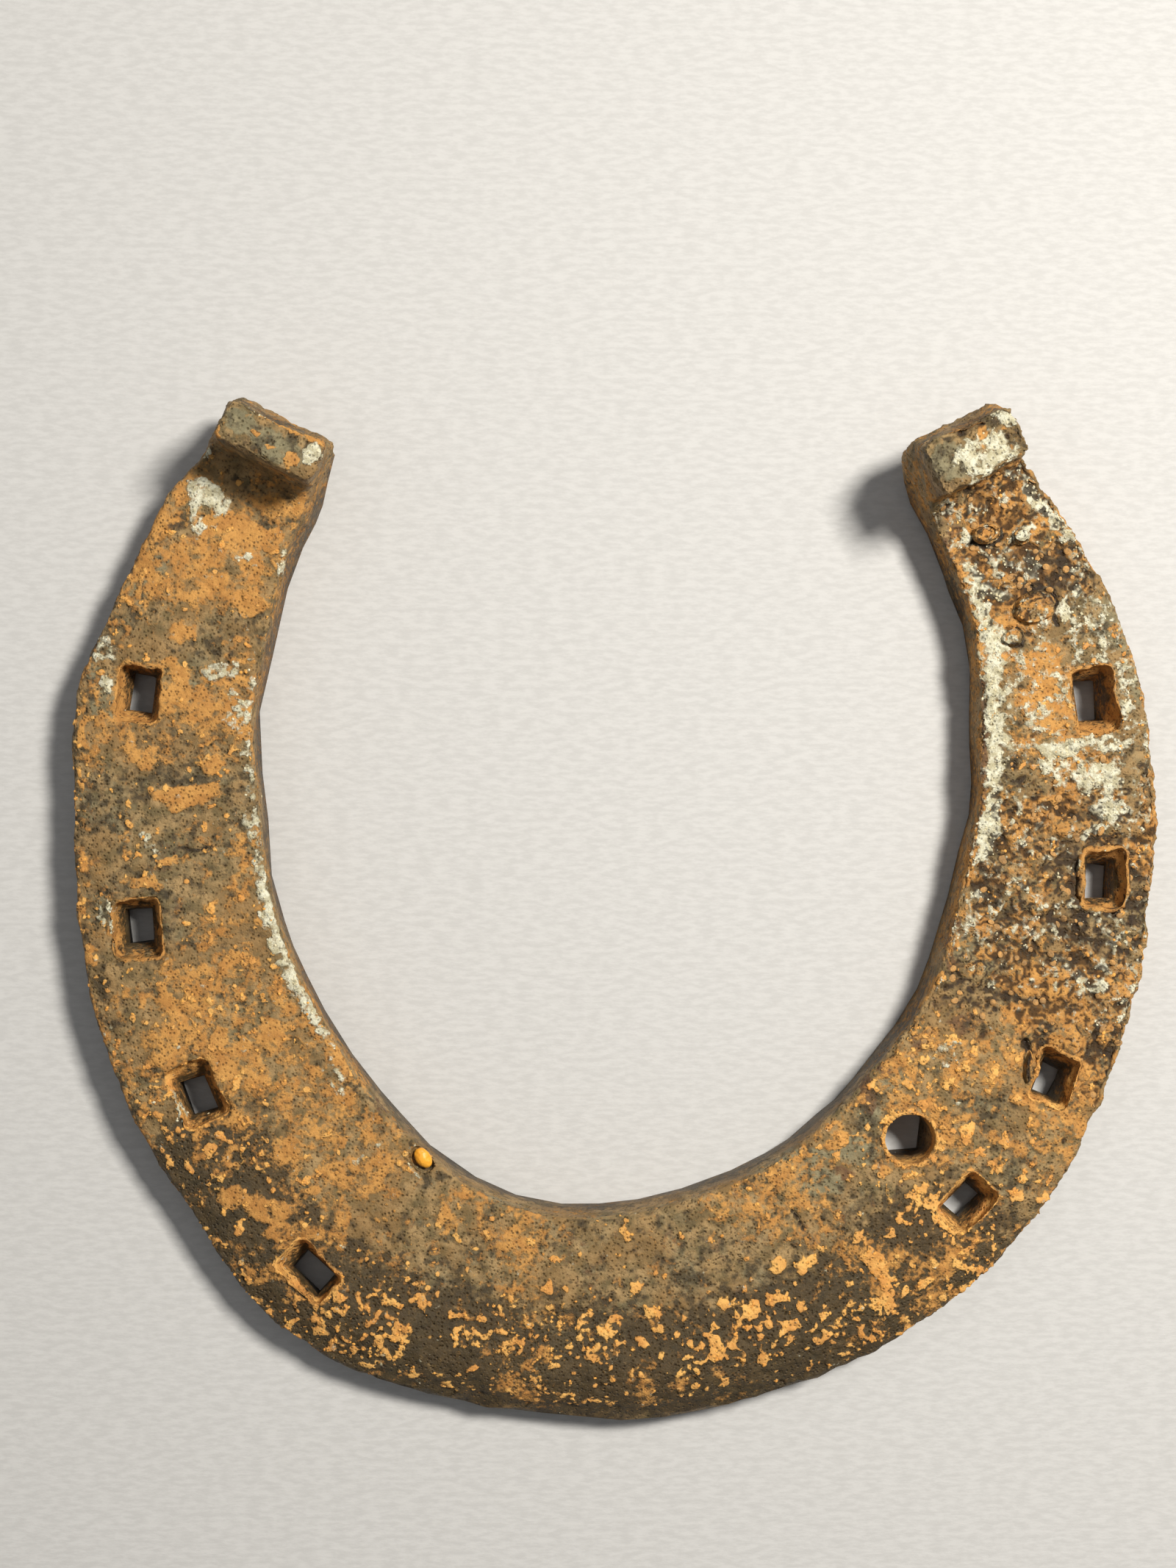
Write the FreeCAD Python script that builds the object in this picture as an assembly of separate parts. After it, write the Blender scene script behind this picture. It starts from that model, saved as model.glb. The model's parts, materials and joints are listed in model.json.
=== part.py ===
# A hand-forged horseshoe with turned heel calks, in millimetres.
#
# The shoe lies on its hoof face with its ground face up: +Z is the ground side, +Y points to the
# heels and -Y to the toe. It is drawn about a point between its branches and then moved, so that
# the origin is under the middle of its box. Each piece is written to parts/NODE.step.
import FreeCAD, Part

import math
import os
from collections import namedtuple

# The bar
WEB_THICK = 9.5
GROUND_EDGE = 1.3
HOOF_EDGE = 1.0
FILED_OFF = 0.3
WORN_BAND = 9.0

# Stations along the bar, from the left heel round the toe to the right heel: the ground face's
# inner and outer edge, how far the outer edge is worn down, and how far the inner wall spreads
# towards the hoof.
Station = namedtuple("Station", "inner outer worn flare")
STATIONS = [
    Station((-36.9, 34.1), (-51.5, 41.0), 0.3, 1.2),
    Station((-40.2, 25.0), (-57.0, 32.9), 0.4, 0.8),
    Station((-42.4, 14.1), (-63.7, 19.6), 0.5, 0.4),
    Station((-43.0, 3.0), (-67.3, 4.5), 0.5, 0.2),
    Station((-41.7, -9.0), (-66.7, -11.6), 0.6, 0.2),
    Station((-39.2, -20.2), (-64.4, -28.2), 0.8, 0.3),
    Station((-34.1, -30.6), (-58.6, -44.4), 1.1, 0.3),
    Station((-27.1, -41.0), (-48.5, -61.1), 1.6, 0.3),
    Station((-17.4, -50.2), (-32.3, -75.8), 2.4, 0.3),
    Station((-6.2, -55.1), (-11.8, -81.8), 3.2, 0.3),
    Station((4.5, -55.3), (5.5, -83.5), 3.4, 0.3),
    Station((15.3, -52.6), (23.0, -80.5), 2.9, 0.2),
    Station((26.1, -47.1), (41.2, -72.6), 2.0, 0.1),
    Station((34.9, -39.0), (56.2, -60.2), 1.3, 0.0),
    Station((42.2, -29.8), (66.9, -43.5), 0.9, 0.0),
    Station((46.6, -18.6), (72.6, -25.9), 0.6, -0.2),
    Station((49.4, -7.0), (74.8, -9.6), 0.5, -0.4),
    Station((50.4, 4.5), (74.0, 6.1), 0.5, -0.4),
    Station((50.1, 15.6), (69.7, 21.9), 0.4, -0.4),
    Station((47.6, 26.0), (63.6, 33.6), 0.4, -0.2),
    Station((44.6, 32.8), (59.1, 40.1), 0.3, 0.0),
]

# The calks: how each bar end turns up. A bend step is an angle, the bar's thickness there, its
# width and how far its inner side moves towards the outer edge.
CALK_TOP = 20.6
CALK_EDGE = 0.9
HEEL_EDGE = 2.0
BEND_RADIUS = 3.0
BendStep = namedtuple("BendStep", "angle thick width shift")
LEFT_BEND = [
    BendStep(22, 9.9, 15.2, 0.3),
    BendStep(45, 9.8, 15.0, 0.5),
    BendStep(68, 8.8, 14.8, 0.4),
    BendStep(90, 7.5, 14.6, 0.1),
]
RIGHT_BEND = [
    BendStep(22, 10.0, 15.9, 0.0),
    BendStep(45, 10.1, 15.5, 0.1),
    BendStep(68, 9.6, 14.9, 0.3),
    BendStep(90, 9.0, 14.3, 0.4),
]
CalkTip = namedtuple("CalkTip", "thick width shift")
LEFT_TIP = CalkTip(6.4, 14.0, -0.3)
RIGHT_TIP = CalkTip(8.0, 13.2, 0.5)

# The rounding of a calk's tip: rise and inset, as shares of CALK_EDGE
TIP_ROUNDING = [(0.0, 0.0), (0.4, 0.08), (0.7, 0.29), (0.9, 0.56), (1.0, 1.0)]

# Nail holes: the middle of the hole at the ground face and at the hoof face, its size across and
# along the bar at each face, and how far it is turned from the Y axis.
NailHole = namedtuple("NailHole", "ground hoof ground_size hoof_size turn")
NAIL_HOLES = {
    "left_1": NailHole((-58.0, 11.7), (-58.3, 12.0), (5.2, 6.8), (3.0, 4.9), -8),
    "left_2": NailHole((-58.2, -18.6), (-58.6, -18.4), (5.4, 7.2), (3.0, 4.3), 4),
    "left_3": NailHole((-50.6, -39.6), (-51.0, -41.0), (5.2, 7.2), (3.2, 4.4), 23),
    "left_4": NailHole((-36.3, -62.6), (-35.9, -64.0), (4.7, 7.4), (3.1, 4.8), 45),
    "right_1": NailHole((65.9, 11.1), (66.4, 11.2), (5.2, 8.0), (3.2, 5.4), 8),
    "right_2": NailHole((67.1, -12.2), (67.7, -13.1), (5.0, 6.8), (3.1, 4.5), 0),
    "right_3": NailHole((60.6, -38.5), (61.1, -39.3), (4.8, 6.6), (3.0, 4.3), -20),
    "right_4": NailHole((49.0, -54.6), (49.6, -55.2), (4.6, 6.6), (2.9, 4.2), -43),
}
ROUND_HOLE_AT = (41.6, -46.2)
ROUND_HOLE_RADIUS = 3.2

# The grain of grit in its pit
GRAIN_AT = (-21.7, -48.1)
GRAIN_LONG = 3.1
GRAIN_WIDE = 2.1
GRAIN_THICK = 1.7
GRAIN_TURN = -52
GRAIN_PROUD = 0.25

# Rust scale standing on the ground face: middle, length and width, height and turn, and for a
# blister with a broken crown the radius of the hollow in it.
Scale = namedtuple("Scale", "middle size height turn hollow")
SCALES = {
    "heel_scale_plate": Scale((57.8, 22.9), (5.8, 4.6), 0.9, 22, 0.0),
    "heel_ring_blister": Scale((51.6, 32.7), (4.0, 3.0), 0.8, 15, 0.9),
    "heel_white_blister": Scale((56.0, 32.3), (3.0, 2.4), 0.8, -8, 0.0),
    "quarter_blister": Scale((54.8, 19.1), (3.4, 2.7), 0.8, 20, 0.0),
    "nail_hole_flake": Scale((57.0, -37.0), (1.7, 4.8), 0.7, -6, 0.0),
}
SCALE_RIM = 0.35

UP = FreeCAD.Vector(0, 0, 1)


def point(xy, z):
    return FreeCAD.Vector(xy[0], xy[1], z)


def arc(start, middle, end):
    return Part.Arc(start, middle, end).toShape()


def line(start, end):
    return Part.LineSegment(start, end).toShape()


def bar_section(corner, across, up, width, thick, worn, flare, hoof=HOOF_EDGE):
    """Closed outline of the bar. corner is its inner hoof-side corner, and the ground face lies
    thick above it; past WORN_BAND from the outer edge that face curves down by worn."""

    def place(u, z):
        return corner + across * u + up * z

    bulge = 1 - math.sqrt(0.5)
    ground = GROUND_EDGE
    run = WORN_BAND - ground
    half_turn = math.atan(worn / run)
    crown = (run * run + worn * worn) / (2 * worn)
    crown_start = width - WORN_BAND
    outer_top = thick - worn
    hoof_inner = place(hoof - flare, 0)
    hoof_outer = place(width - hoof, 0)
    wall_foot = place(width, hoof)
    wall_head = place(width, outer_top - ground)
    worn_edge = place(width - ground, outer_top)
    face_outer = place(crown_start, thick)
    face_inner = place(ground, thick)
    inner_head = place(0, thick - ground)
    inner_foot = place(-flare, hoof)
    edges = [
        line(hoof_inner, hoof_outer),
        arc(hoof_outer, place(width - hoof * bulge, hoof * bulge), wall_foot),
        line(wall_foot, wall_head),
        arc(wall_head, place(width - ground * bulge, outer_top - ground * bulge), worn_edge),
        arc(
            worn_edge,
            place(
                crown_start + crown * math.sin(half_turn),
                thick - crown * (1 - math.cos(half_turn)),
            ),
            face_outer,
        ),
        line(face_outer, face_inner),
        arc(face_inner, place(ground * bulge, thick - ground * bulge), inner_head),
        line(inner_head, inner_foot),
        arc(inner_foot, place(hoof * bulge - flare, hoof * bulge), hoof_inner),
    ]
    return Part.Wire(edges)


def across_at(station):
    """Unit vector and distance from the inner to the outer edge of a station."""
    span = point(station.outer, 0) - point(station.inner, 0)
    return span / span.Length, span.Length


def web_section(station):
    across, width = across_at(station)
    corner = point(station.inner, -FILED_OFF)
    thick = WEB_THICK + FILED_OFF
    return bar_section(corner, across, UP, width, thick, station.worn, station.flare)


def tip_section(station, along, tip, pivot, inset):
    """Level outline of a calk, taken in by inset all round."""
    across, _ = across_at(station)
    corner = pivot + along * (BEND_RADIUS + tip.thick - inset) + across * (tip.shift + inset)
    width, thick = tip.width - 2 * inset, tip.thick - 2 * inset
    return bar_section(corner, across, along * -1, width, thick, station.worn, 0, HEEL_EDGE)


def calk(station, along, bend, tip):
    """The bar end past a heel station: it turns from along up to +Z about an axis across the bar
    and ends in a flat ground tip."""
    across, _ = across_at(station)
    pivot = point(station.inner, WEB_THICK + BEND_RADIUS)
    sections = [web_section(station)]
    for step in bend:
        angle = math.radians(step.angle)
        up = UP * math.cos(angle) - along * math.sin(angle)
        corner = pivot - up * (BEND_RADIUS + step.thick) + across * step.shift
        flare = station.flare * math.cos(angle)
        edge = HOOF_EDGE + (HEEL_EDGE - HOOF_EDGE) * math.sin(angle)
        sections.append(
            bar_section(corner, across, up, step.width, step.thick, station.worn, flare, edge)
        )
    below_tip = CALK_TOP - CALK_EDGE - pivot.z
    turned = CalkTip(*bend[-1][1:])
    half_way = CalkTip(*[(low + high) / 2 for low, high in zip(turned, tip)])
    for form, rise in ((half_way, below_tip / 2), (tip, below_tip)):
        sections.append(tip_section(station, along, form, pivot + UP * rise, 0))
    rounded = [
        tip_section(station, along, tip, pivot + UP * (below_tip + CALK_EDGE * rise), CALK_EDGE * inset)
        for rise, inset in TIP_ROUNDING
    ]
    return Part.makeLoft(sections, True, False).fuse(Part.makeLoft(rounded, True, True))


def along_at(heel, before):
    """Direction in which the bar leaves a heel station, square to the station."""
    across, _ = across_at(heel)
    along = UP.cross(across)
    step = point(heel.inner, 0) - point(before.inner, 0)
    return along if along.dot(step) > 0 else along * -1


def rectangle(middle, size, turn, z):
    half_across, half_along = size[0] / 2, size[1] / 2
    corners = [(-1, -1), (1, -1), (1, 1), (-1, 1), (-1, -1)]
    rotation = FreeCAD.Rotation(UP, turn)
    at = point(middle, z)
    return Part.makePolygon(
        [at + rotation.multVec(point((i * half_across, j * half_along), 0)) for i, j in corners]
    )


def nail_hole(hole):
    """The tapered punch that makes a nail hole, running past both faces of the bar."""

    def at_height(z):
        share = z / WEB_THICK

        def between(low, high):
            return [a + (b - a) * share for a, b in zip(low, high)]

        middle = between(hole.hoof, hole.ground)
        size = between(hole.hoof_size, hole.ground_size)
        return rectangle(middle, size, hole.turn, z)

    return Part.makeLoft([at_height(-1), at_height(WEB_THICK + 1)], True, True)


def grain():
    """An egg-shaped grain lying in the ground face, its top a little proud of it."""
    ball = Part.makeSphere(0.5)
    matrix = FreeCAD.Matrix()
    matrix.scale(GRAIN_LONG, GRAIN_WIDE, GRAIN_THICK)
    egg = ball.transformGeometry(matrix)
    egg.rotate(FreeCAD.Vector(), UP, GRAIN_TURN)
    egg.translate(point(GRAIN_AT, WEB_THICK + GRAIN_PROUD - GRAIN_THICK / 2))
    return egg


def oval(middle, size, turn, inset, z):
    long_side, short_side = max(size), min(size)
    if size[1] > size[0]:
        turn += 90
    curve = Part.Ellipse(FreeCAD.Vector(), long_side / 2 - inset, short_side / 2 - inset)
    wire = Part.Wire(curve.toShape())
    wire.rotate(FreeCAD.Vector(), UP, turn)
    wire.translate(point(middle, z))
    return wire


def scale_piece(scale):
    """A domed plate of scale standing on the ground face, hollowed at its crown if broken."""
    rings = [(0.0, 0.0), (SCALE_RIM * 0.3, 0.5), (SCALE_RIM, 0.85), (SCALE_RIM * 2.4, 1.0)]
    wires = [
        oval(scale.middle, scale.size, scale.turn, inset, WEB_THICK + scale.height * part)
        for inset, part in rings
    ]
    plate = Part.makeLoft(wires, True, True)
    if scale.hollow:
        depth = scale.height * 0.6
        ball_at = point(scale.middle, WEB_THICK + scale.height - depth + scale.hollow)
        plate = plate.cut(Part.makeSphere(scale.hollow, ball_at))
    return plate


def filed_flat(solid):
    """Takes off what lies below the hoof face."""
    box = solid.BoundBox
    below = Part.makeBox(box.XLength + 20, box.YLength + 20, 10)
    below.translate(FreeCAD.Vector(box.XMin - 10, box.YMin - 10, -10))
    return solid.cut(below)


def forged_shoe(grit):
    web = Part.makeLoft([web_section(station) for station in STATIONS], True, False)
    left = calk(STATIONS[0], along_at(STATIONS[0], STATIONS[1]), LEFT_BEND, LEFT_TIP)
    right = calk(STATIONS[-1], along_at(STATIONS[-1], STATIONS[-2]), RIGHT_BEND, RIGHT_TIP)
    shoe = filed_flat(web).fuse([filed_flat(left), filed_flat(right)])
    for hole in NAIL_HOLES.values():
        shoe = shoe.cut(nail_hole(hole))
    drill_at = point(ROUND_HOLE_AT, -1)
    drill = Part.makeCylinder(ROUND_HOLE_RADIUS, WEB_THICK + 2, drill_at, UP)
    return shoe.cut(drill).cut(grit).removeSplitter()


def middle_of(shape):
    """The middle of a shape's box, on the hoof face's level."""
    places, _ = shape.tessellate(0.01)
    east = [place.x for place in places]
    north = [place.y for place in places]
    return point(((min(east) + max(east)) / 2, (min(north) + max(north)) / 2), 0)


def main():
    os.makedirs("parts", exist_ok=True)
    grit = grain()
    pieces = {"forged_shoe": forged_shoe(grit), "lodged_grain": grit}
    for name, scale in SCALES.items():
        pieces[name] = scale_piece(scale)
    to_origin = middle_of(pieces["forged_shoe"]) * -1
    print("moved by", to_origin)
    for name, piece in pieces.items():
        if len(piece.Solids) != 1 or not piece.isValid():
            raise RuntimeError(name + " is not one valid solid")
        piece.translate(to_origin)
        piece.Solids[0].exportStep("parts/" + name + ".step")
        size = piece.BoundBox
        print(name, "volume", round(piece.Volume), "size",
              round(size.XLength, 1), round(size.YLength, 1), round(size.ZLength, 1))


main()
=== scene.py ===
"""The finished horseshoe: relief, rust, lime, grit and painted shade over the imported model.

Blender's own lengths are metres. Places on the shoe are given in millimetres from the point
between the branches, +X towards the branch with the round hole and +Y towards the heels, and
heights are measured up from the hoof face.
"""

import json
import logging
from dataclasses import dataclass
from enum import Enum
from itertools import product

import bmesh
import bpy
import numpy as np
from mathutils import Matrix, Vector
from mathutils.kdtree import KDTree

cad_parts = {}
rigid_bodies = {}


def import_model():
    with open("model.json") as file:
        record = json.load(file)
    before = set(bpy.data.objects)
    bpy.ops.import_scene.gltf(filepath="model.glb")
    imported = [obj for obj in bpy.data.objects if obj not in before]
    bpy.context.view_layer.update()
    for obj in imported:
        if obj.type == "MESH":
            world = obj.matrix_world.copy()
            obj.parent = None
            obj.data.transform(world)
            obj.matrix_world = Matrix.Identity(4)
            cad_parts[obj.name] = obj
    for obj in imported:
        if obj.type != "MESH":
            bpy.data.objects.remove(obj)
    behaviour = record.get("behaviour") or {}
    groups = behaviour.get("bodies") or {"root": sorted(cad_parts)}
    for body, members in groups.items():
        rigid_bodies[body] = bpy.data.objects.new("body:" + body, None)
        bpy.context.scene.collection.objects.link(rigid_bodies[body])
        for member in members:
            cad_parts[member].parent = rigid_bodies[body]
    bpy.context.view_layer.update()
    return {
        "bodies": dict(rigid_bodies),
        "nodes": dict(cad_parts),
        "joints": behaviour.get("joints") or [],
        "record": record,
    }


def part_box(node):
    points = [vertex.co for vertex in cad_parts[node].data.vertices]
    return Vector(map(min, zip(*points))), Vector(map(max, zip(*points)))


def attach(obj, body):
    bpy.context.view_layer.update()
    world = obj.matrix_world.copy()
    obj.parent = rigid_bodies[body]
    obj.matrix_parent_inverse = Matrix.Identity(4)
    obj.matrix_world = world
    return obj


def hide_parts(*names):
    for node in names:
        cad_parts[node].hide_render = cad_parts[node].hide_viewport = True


Array = np.ndarray
Socket = bpy.types.NodeSocket
Colour = tuple[float, float, float, float]

MM = 0.001
BODY = "root"
LOG = logging.getLogger("horseshoe")

# Height of the ground face above the hoof face, in millimetres.
GROUND_FACE = 9.5
# Large odd numbers that mix a cell's three numbers and a seed into one random one.
CELL_STEPS = (374761393, 668265263, 1274126177)
SEED_STEP = 144269504
MIXER = 1103515245
LOW_BITS = 0xFFFFFF


# ---------------------------------------------------------------------------
# Numbers that vary over a surface
# ---------------------------------------------------------------------------


def ramp(low: float, high: float, value: Array) -> Array:
    """An eased rise from 0 at low to 1 at high."""
    share = np.clip((value - low) / (high - low), 0.0, 1.0)
    return share * share * (3.0 - 2.0 * share)


def cell_value(cells: Array, seed: int) -> Array:
    """A fixed random share from 0 to 1 for each whole-numbered cell.

    Args:
        cells: Cell numbers, one row of three for each place.
        seed: Which of the random fields to read.

    Returns:
        One share for each row.
    """
    mixed = cells @ np.array(CELL_STEPS) + seed * SEED_STEP
    mixed = (mixed ^ (mixed >> 13)) * MIXER
    mixed = mixed ^ (mixed >> 16)
    return (mixed & LOW_BITS) / float(LOW_BITS)


def lattice_noise(places: Array, seed: int) -> Array:
    """Smooth random values, one cell of the lattice to each unit of length.

    Args:
        places: Places in units of a cell.
        seed: Which of the random fields to read.

    Returns:
        One value from 0 to 1 for each place.
    """
    base = np.floor(places).astype(np.int64)
    part = places - base
    part = part * part * (3.0 - 2.0 * part)
    total = np.zeros(len(places))
    for corner in product((0, 1), repeat=3):
        share = np.prod(np.where(corner, part, 1.0 - part), axis=1)
        total += share * cell_value(base + np.array(corner), seed)
    return total


def cloud(places: Array, size: float, seed: int, layers: int = 4, rough: float = 0.55) -> Array:
    """Layered noise around 0.5.

    Args:
        places: Places in millimetres.
        size: Size of the largest lumps in millimetres.
        seed: Which of the random fields to read.
        layers: How many finer and finer layers are added.
        rough: How strong each finer layer is against the one before.

    Returns:
        One value for each place, nearly always from 0 to 1.
    """
    total = np.zeros(len(places))
    weight = 0.0
    strength = 1.0
    for layer in range(layers):
        total += strength * lattice_noise(places / size * 2.03**layer + 17.3 * layer, seed + layer)
        weight += strength
        strength *= rough
    return 0.5 + (total / weight - 0.5) * 1.7


def spots(places: Array, cell: float, radius: float, chance: Array | float, seed: int) -> Array:
    """Round spots, at most one in each cell.

    Args:
        places: Places in millimetres.
        cell: Size of a cell in millimetres.
        radius: Mean radius of a spot in millimetres.
        chance: Share of the cells that hold a spot.
        seed: Which of the random fields to read.

    Returns:
        1 at the middle of a spot, falling to 0 at its rim.
    """
    scaled = places / cell
    base = np.floor(scaled).astype(np.int64)
    best = np.zeros(len(places))
    for corner in product((-1, 0, 1), repeat=3):
        cells = base + np.array(corner)
        middle = cells + np.stack([cell_value(cells, seed + axis) for axis in (1, 2, 3)], axis=1)
        reach = radius / cell * (0.5 + cell_value(cells, seed + 4))
        held = cell_value(cells, seed + 5) < chance
        away = np.linalg.norm(scaled - middle, axis=1)
        best = np.maximum(best, np.where(held, np.clip(1.0 - away / reach, 0.0, 1.0), 0.0))
    return best


def between(low: float, high: float, value: Array, soft: float) -> Array:
    """1 where value lies from low to high, easing to 0 over soft on either side."""
    return ramp(low - soft, low + soft, value) * (1.0 - ramp(high - soft, high + soft, value))


# ---------------------------------------------------------------------------
# Marks that age has left at known places
# ---------------------------------------------------------------------------


@dataclass(frozen=True)
class Patch:
    """An oval patch of one finish.

    Args:
        x, y: Its middle.
        rx, ry: Its radii, before it is turned.
        turn: How far it is turned anticlockwise, in degrees.
        strength: How fully the finish lies in its middle, from 0 to 1.
    """

    x: float
    y: float
    rx: float
    ry: float
    turn: float = 0.0
    strength: float = 1.0

    def share(self, places: Array) -> Array:
        """How fully the finish lies.

        Args:
            places: Places in millimetres.

        Returns:
            A share for each place, from 0 to the patch's strength.
        """
        angle = np.radians(self.turn)
        east = places[:, 0] - self.x
        north = places[:, 1] - self.y
        along = (east * np.cos(angle) + north * np.sin(angle)) / self.rx
        across = (north * np.cos(angle) - east * np.sin(angle)) / self.ry
        away = np.hypot(along, across)
        return self.strength * (1.0 - ramp(0.7, 1.45, away))


@dataclass(frozen=True)
class Dent:
    """A smooth hollow pressed into whatever surface is near its middle.

    Args:
        x, y, z: Its middle.
        radius: How far out it has fallen to about a third of its depth.
        depth: Its depth in the middle.
    """

    x: float
    y: float
    z: float
    radius: float
    depth: float

    def depths(self, places: Array) -> Array:
        """Depth of the hollow at each place, in millimetres."""
        away = np.linalg.norm(places - np.array((self.x, self.y, self.z)), axis=1)
        return self.depth * np.exp(-((away / self.radius) ** 2))


@dataclass(frozen=True)
class Crack:
    """An open crack on the ground face.

    Args:
        points: The points that it follows.
        width: How far it opens to either side, in millimetres.
    """

    points: tuple[tuple[float, float], ...]
    width: float

    def share(self, places: Array) -> Array:
        """How far a place is inside the crack.

        Args:
            places: Places in millimetres.

        Returns:
            A share for each place, 1 in the middle of the crack and 0 outside it.
        """
        flat = places[:, :2]
        nearest = np.full(len(places), np.inf)
        for start, end in zip(self.points, self.points[1:]):
            start_at = np.array(start)
            run = np.array(end) - start_at
            along = np.clip((flat - start_at) @ run / (run @ run), 0.0, 1.0)
            nearest = np.minimum(
                nearest, np.linalg.norm(flat - start_at - along[:, None] * run, axis=1)
            )
        return 1.0 - ramp(self.width * 0.35, self.width, nearest)


LIME_PATCHES = (
    # left heel and branch
    Patch(-49.0, 37.0, 3.4, 1.7, -35),
    Patch(-50.6, 34.0, 0.8, 2.2, 15, 0.8),
    Patch(-49.4, 42.2, 0.5, 0.5),
    Patch(-44.8, 29.3, 1.3, 0.8, 0, 0.6),
    Patch(-39.8, 29.0, 0.8, 2.0, 0, 0.7),
    Patch(-62.2, 17.6, 1.6, 1.8, 0, 0.75),
    Patch(-62.3, 12.7, 0.7, 0.9),
    Patch(-47.6, 14.6, 2.2, 1.4, 0, 0.65),
    Patch(-45.3, 9.0, 1.2, 3.0, 0, 0.6),
    Patch(-61.3, -17.0, 0.5, 2.0, 5, 0.8),
    Patch(-62.8, -16.5, 0.5, 1.6, 0, 0.6),
    Patch(-56.8, -7.6, 0.5, 1.4, 10, 0.7),
    Patch(-33.0, -37.6, 0.9, 2.6, 35, 0.6),
    Patch(-52.6, -41.6, 0.4, 2.2, 22, 0.75),
    Patch(-38.3, -63.0, 0.4, 2.6, 42, 0.7),
    Patch(-21.9, -49.8, 1.8, 0.5, -35, 0.6),
    Patch(-28.0, -47.0, 2.5, 1.5, 40, 0.4),
    # right heel
    Patch(58.4, 37.2, 2.6, 1.1, -38),
    Patch(60.9, 34.4, 1.3, 1.6, 30),
    Patch(62.0, 32.6, 1.1, 1.2, 0, 0.8),
    Patch(56.0, 32.4, 1.3, 0.8, 20, 0.95),
    Patch(58.0, 29.3, 0.9, 1.1, 0, 0.9),
    Patch(53.6, 28.9, 1.0, 0.5, 30, 0.75),
    Patch(64.0, 28.0, 0.9, 1.2, 0, 0.75),
    Patch(63.8, 25.6, 1.0, 0.8, 0, 0.8),
    Patch(61.8, 22.9, 0.8, 1.2, 0, 0.9),
    Patch(66.2, 22.0, 1.6, 2.2, 15, 0.55),
    Patch(48.6, 32.4, 0.7, 1.4, 35, 0.95),
    Patch(51.5, 25.0, 3.4, 0.9, -10, 0.8),
    Patch(51.2, 22.5, 1.3, 2.4, 20, 0.75),
    Patch(53.4, 19.6, 2.2, 1.0, -20, 0.85),
    Patch(56.6, 17.2, 1.8, 0.6, 10, 0.6),
    Patch(66.8, 17.6, 2.2, 1.5, 20, 0.7),
    Patch(69.8, 12.0, 0.8, 4.0, 5, 0.8),
    Patch(61.0, 11.0, 0.7, 3.6, 0, 0.7),
    # right branch and quarter
    Patch(64.5, 5.0, 6.5, 1.4, 4, 0.85),
    Patch(60.5, 2.0, 3.5, 1.8, 0, 0.65),
    Patch(66.5, 0.5, 3.6, 2.4, 0, 0.7),
    Patch(68.0, -3.2, 2.6, 1.8, 0, 0.75),
    Patch(65.6, -6.2, 2.4, 0.7, 15, 0.9),
    Patch(71.0, -10.0, 0.5, 1.6, 0, 0.7),
    Patch(50.4, -14.4, 1.4, 0.7, -10, 0.95),
    Patch(49.6, -17.2, 1.1, 0.9, 0, 0.65),
    Patch(56.4, -13.6, 2.4, 0.7, 10, 0.6),
    Patch(61.0, -15.6, 2.6, 0.7, -8, 0.65),
    Patch(56.5, -21.2, 3.6, 0.6, 5, 0.6),
    Patch(61.2, -22.8, 1.2, 0.7, 20, 0.85),
    Patch(68.1, -21.4, 0.8, 0.8),
    Patch(66.6, -23.6, 1.0, 0.4, -30, 0.9),
    Patch(66.3, -26.4, 1.8, 1.0, -15),
    Patch(52.4, -26.0, 0.6, 0.5, 0, 0.9),
    Patch(46.5, -30.6, 1.6, 0.5, 10, 0.6),
    Patch(45.6, -35.4, 2.6, 1.4, 20, 0.5),
    Patch(47.8, -41.4, 0.5, 0.25, 0, 1.0),
    Patch(44.8, -22.8, 0.3, 0.9, 0, 0.5),
    Patch(60.2, -9.4, 1.8, 0.6, 10, 0.65),
)
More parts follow.
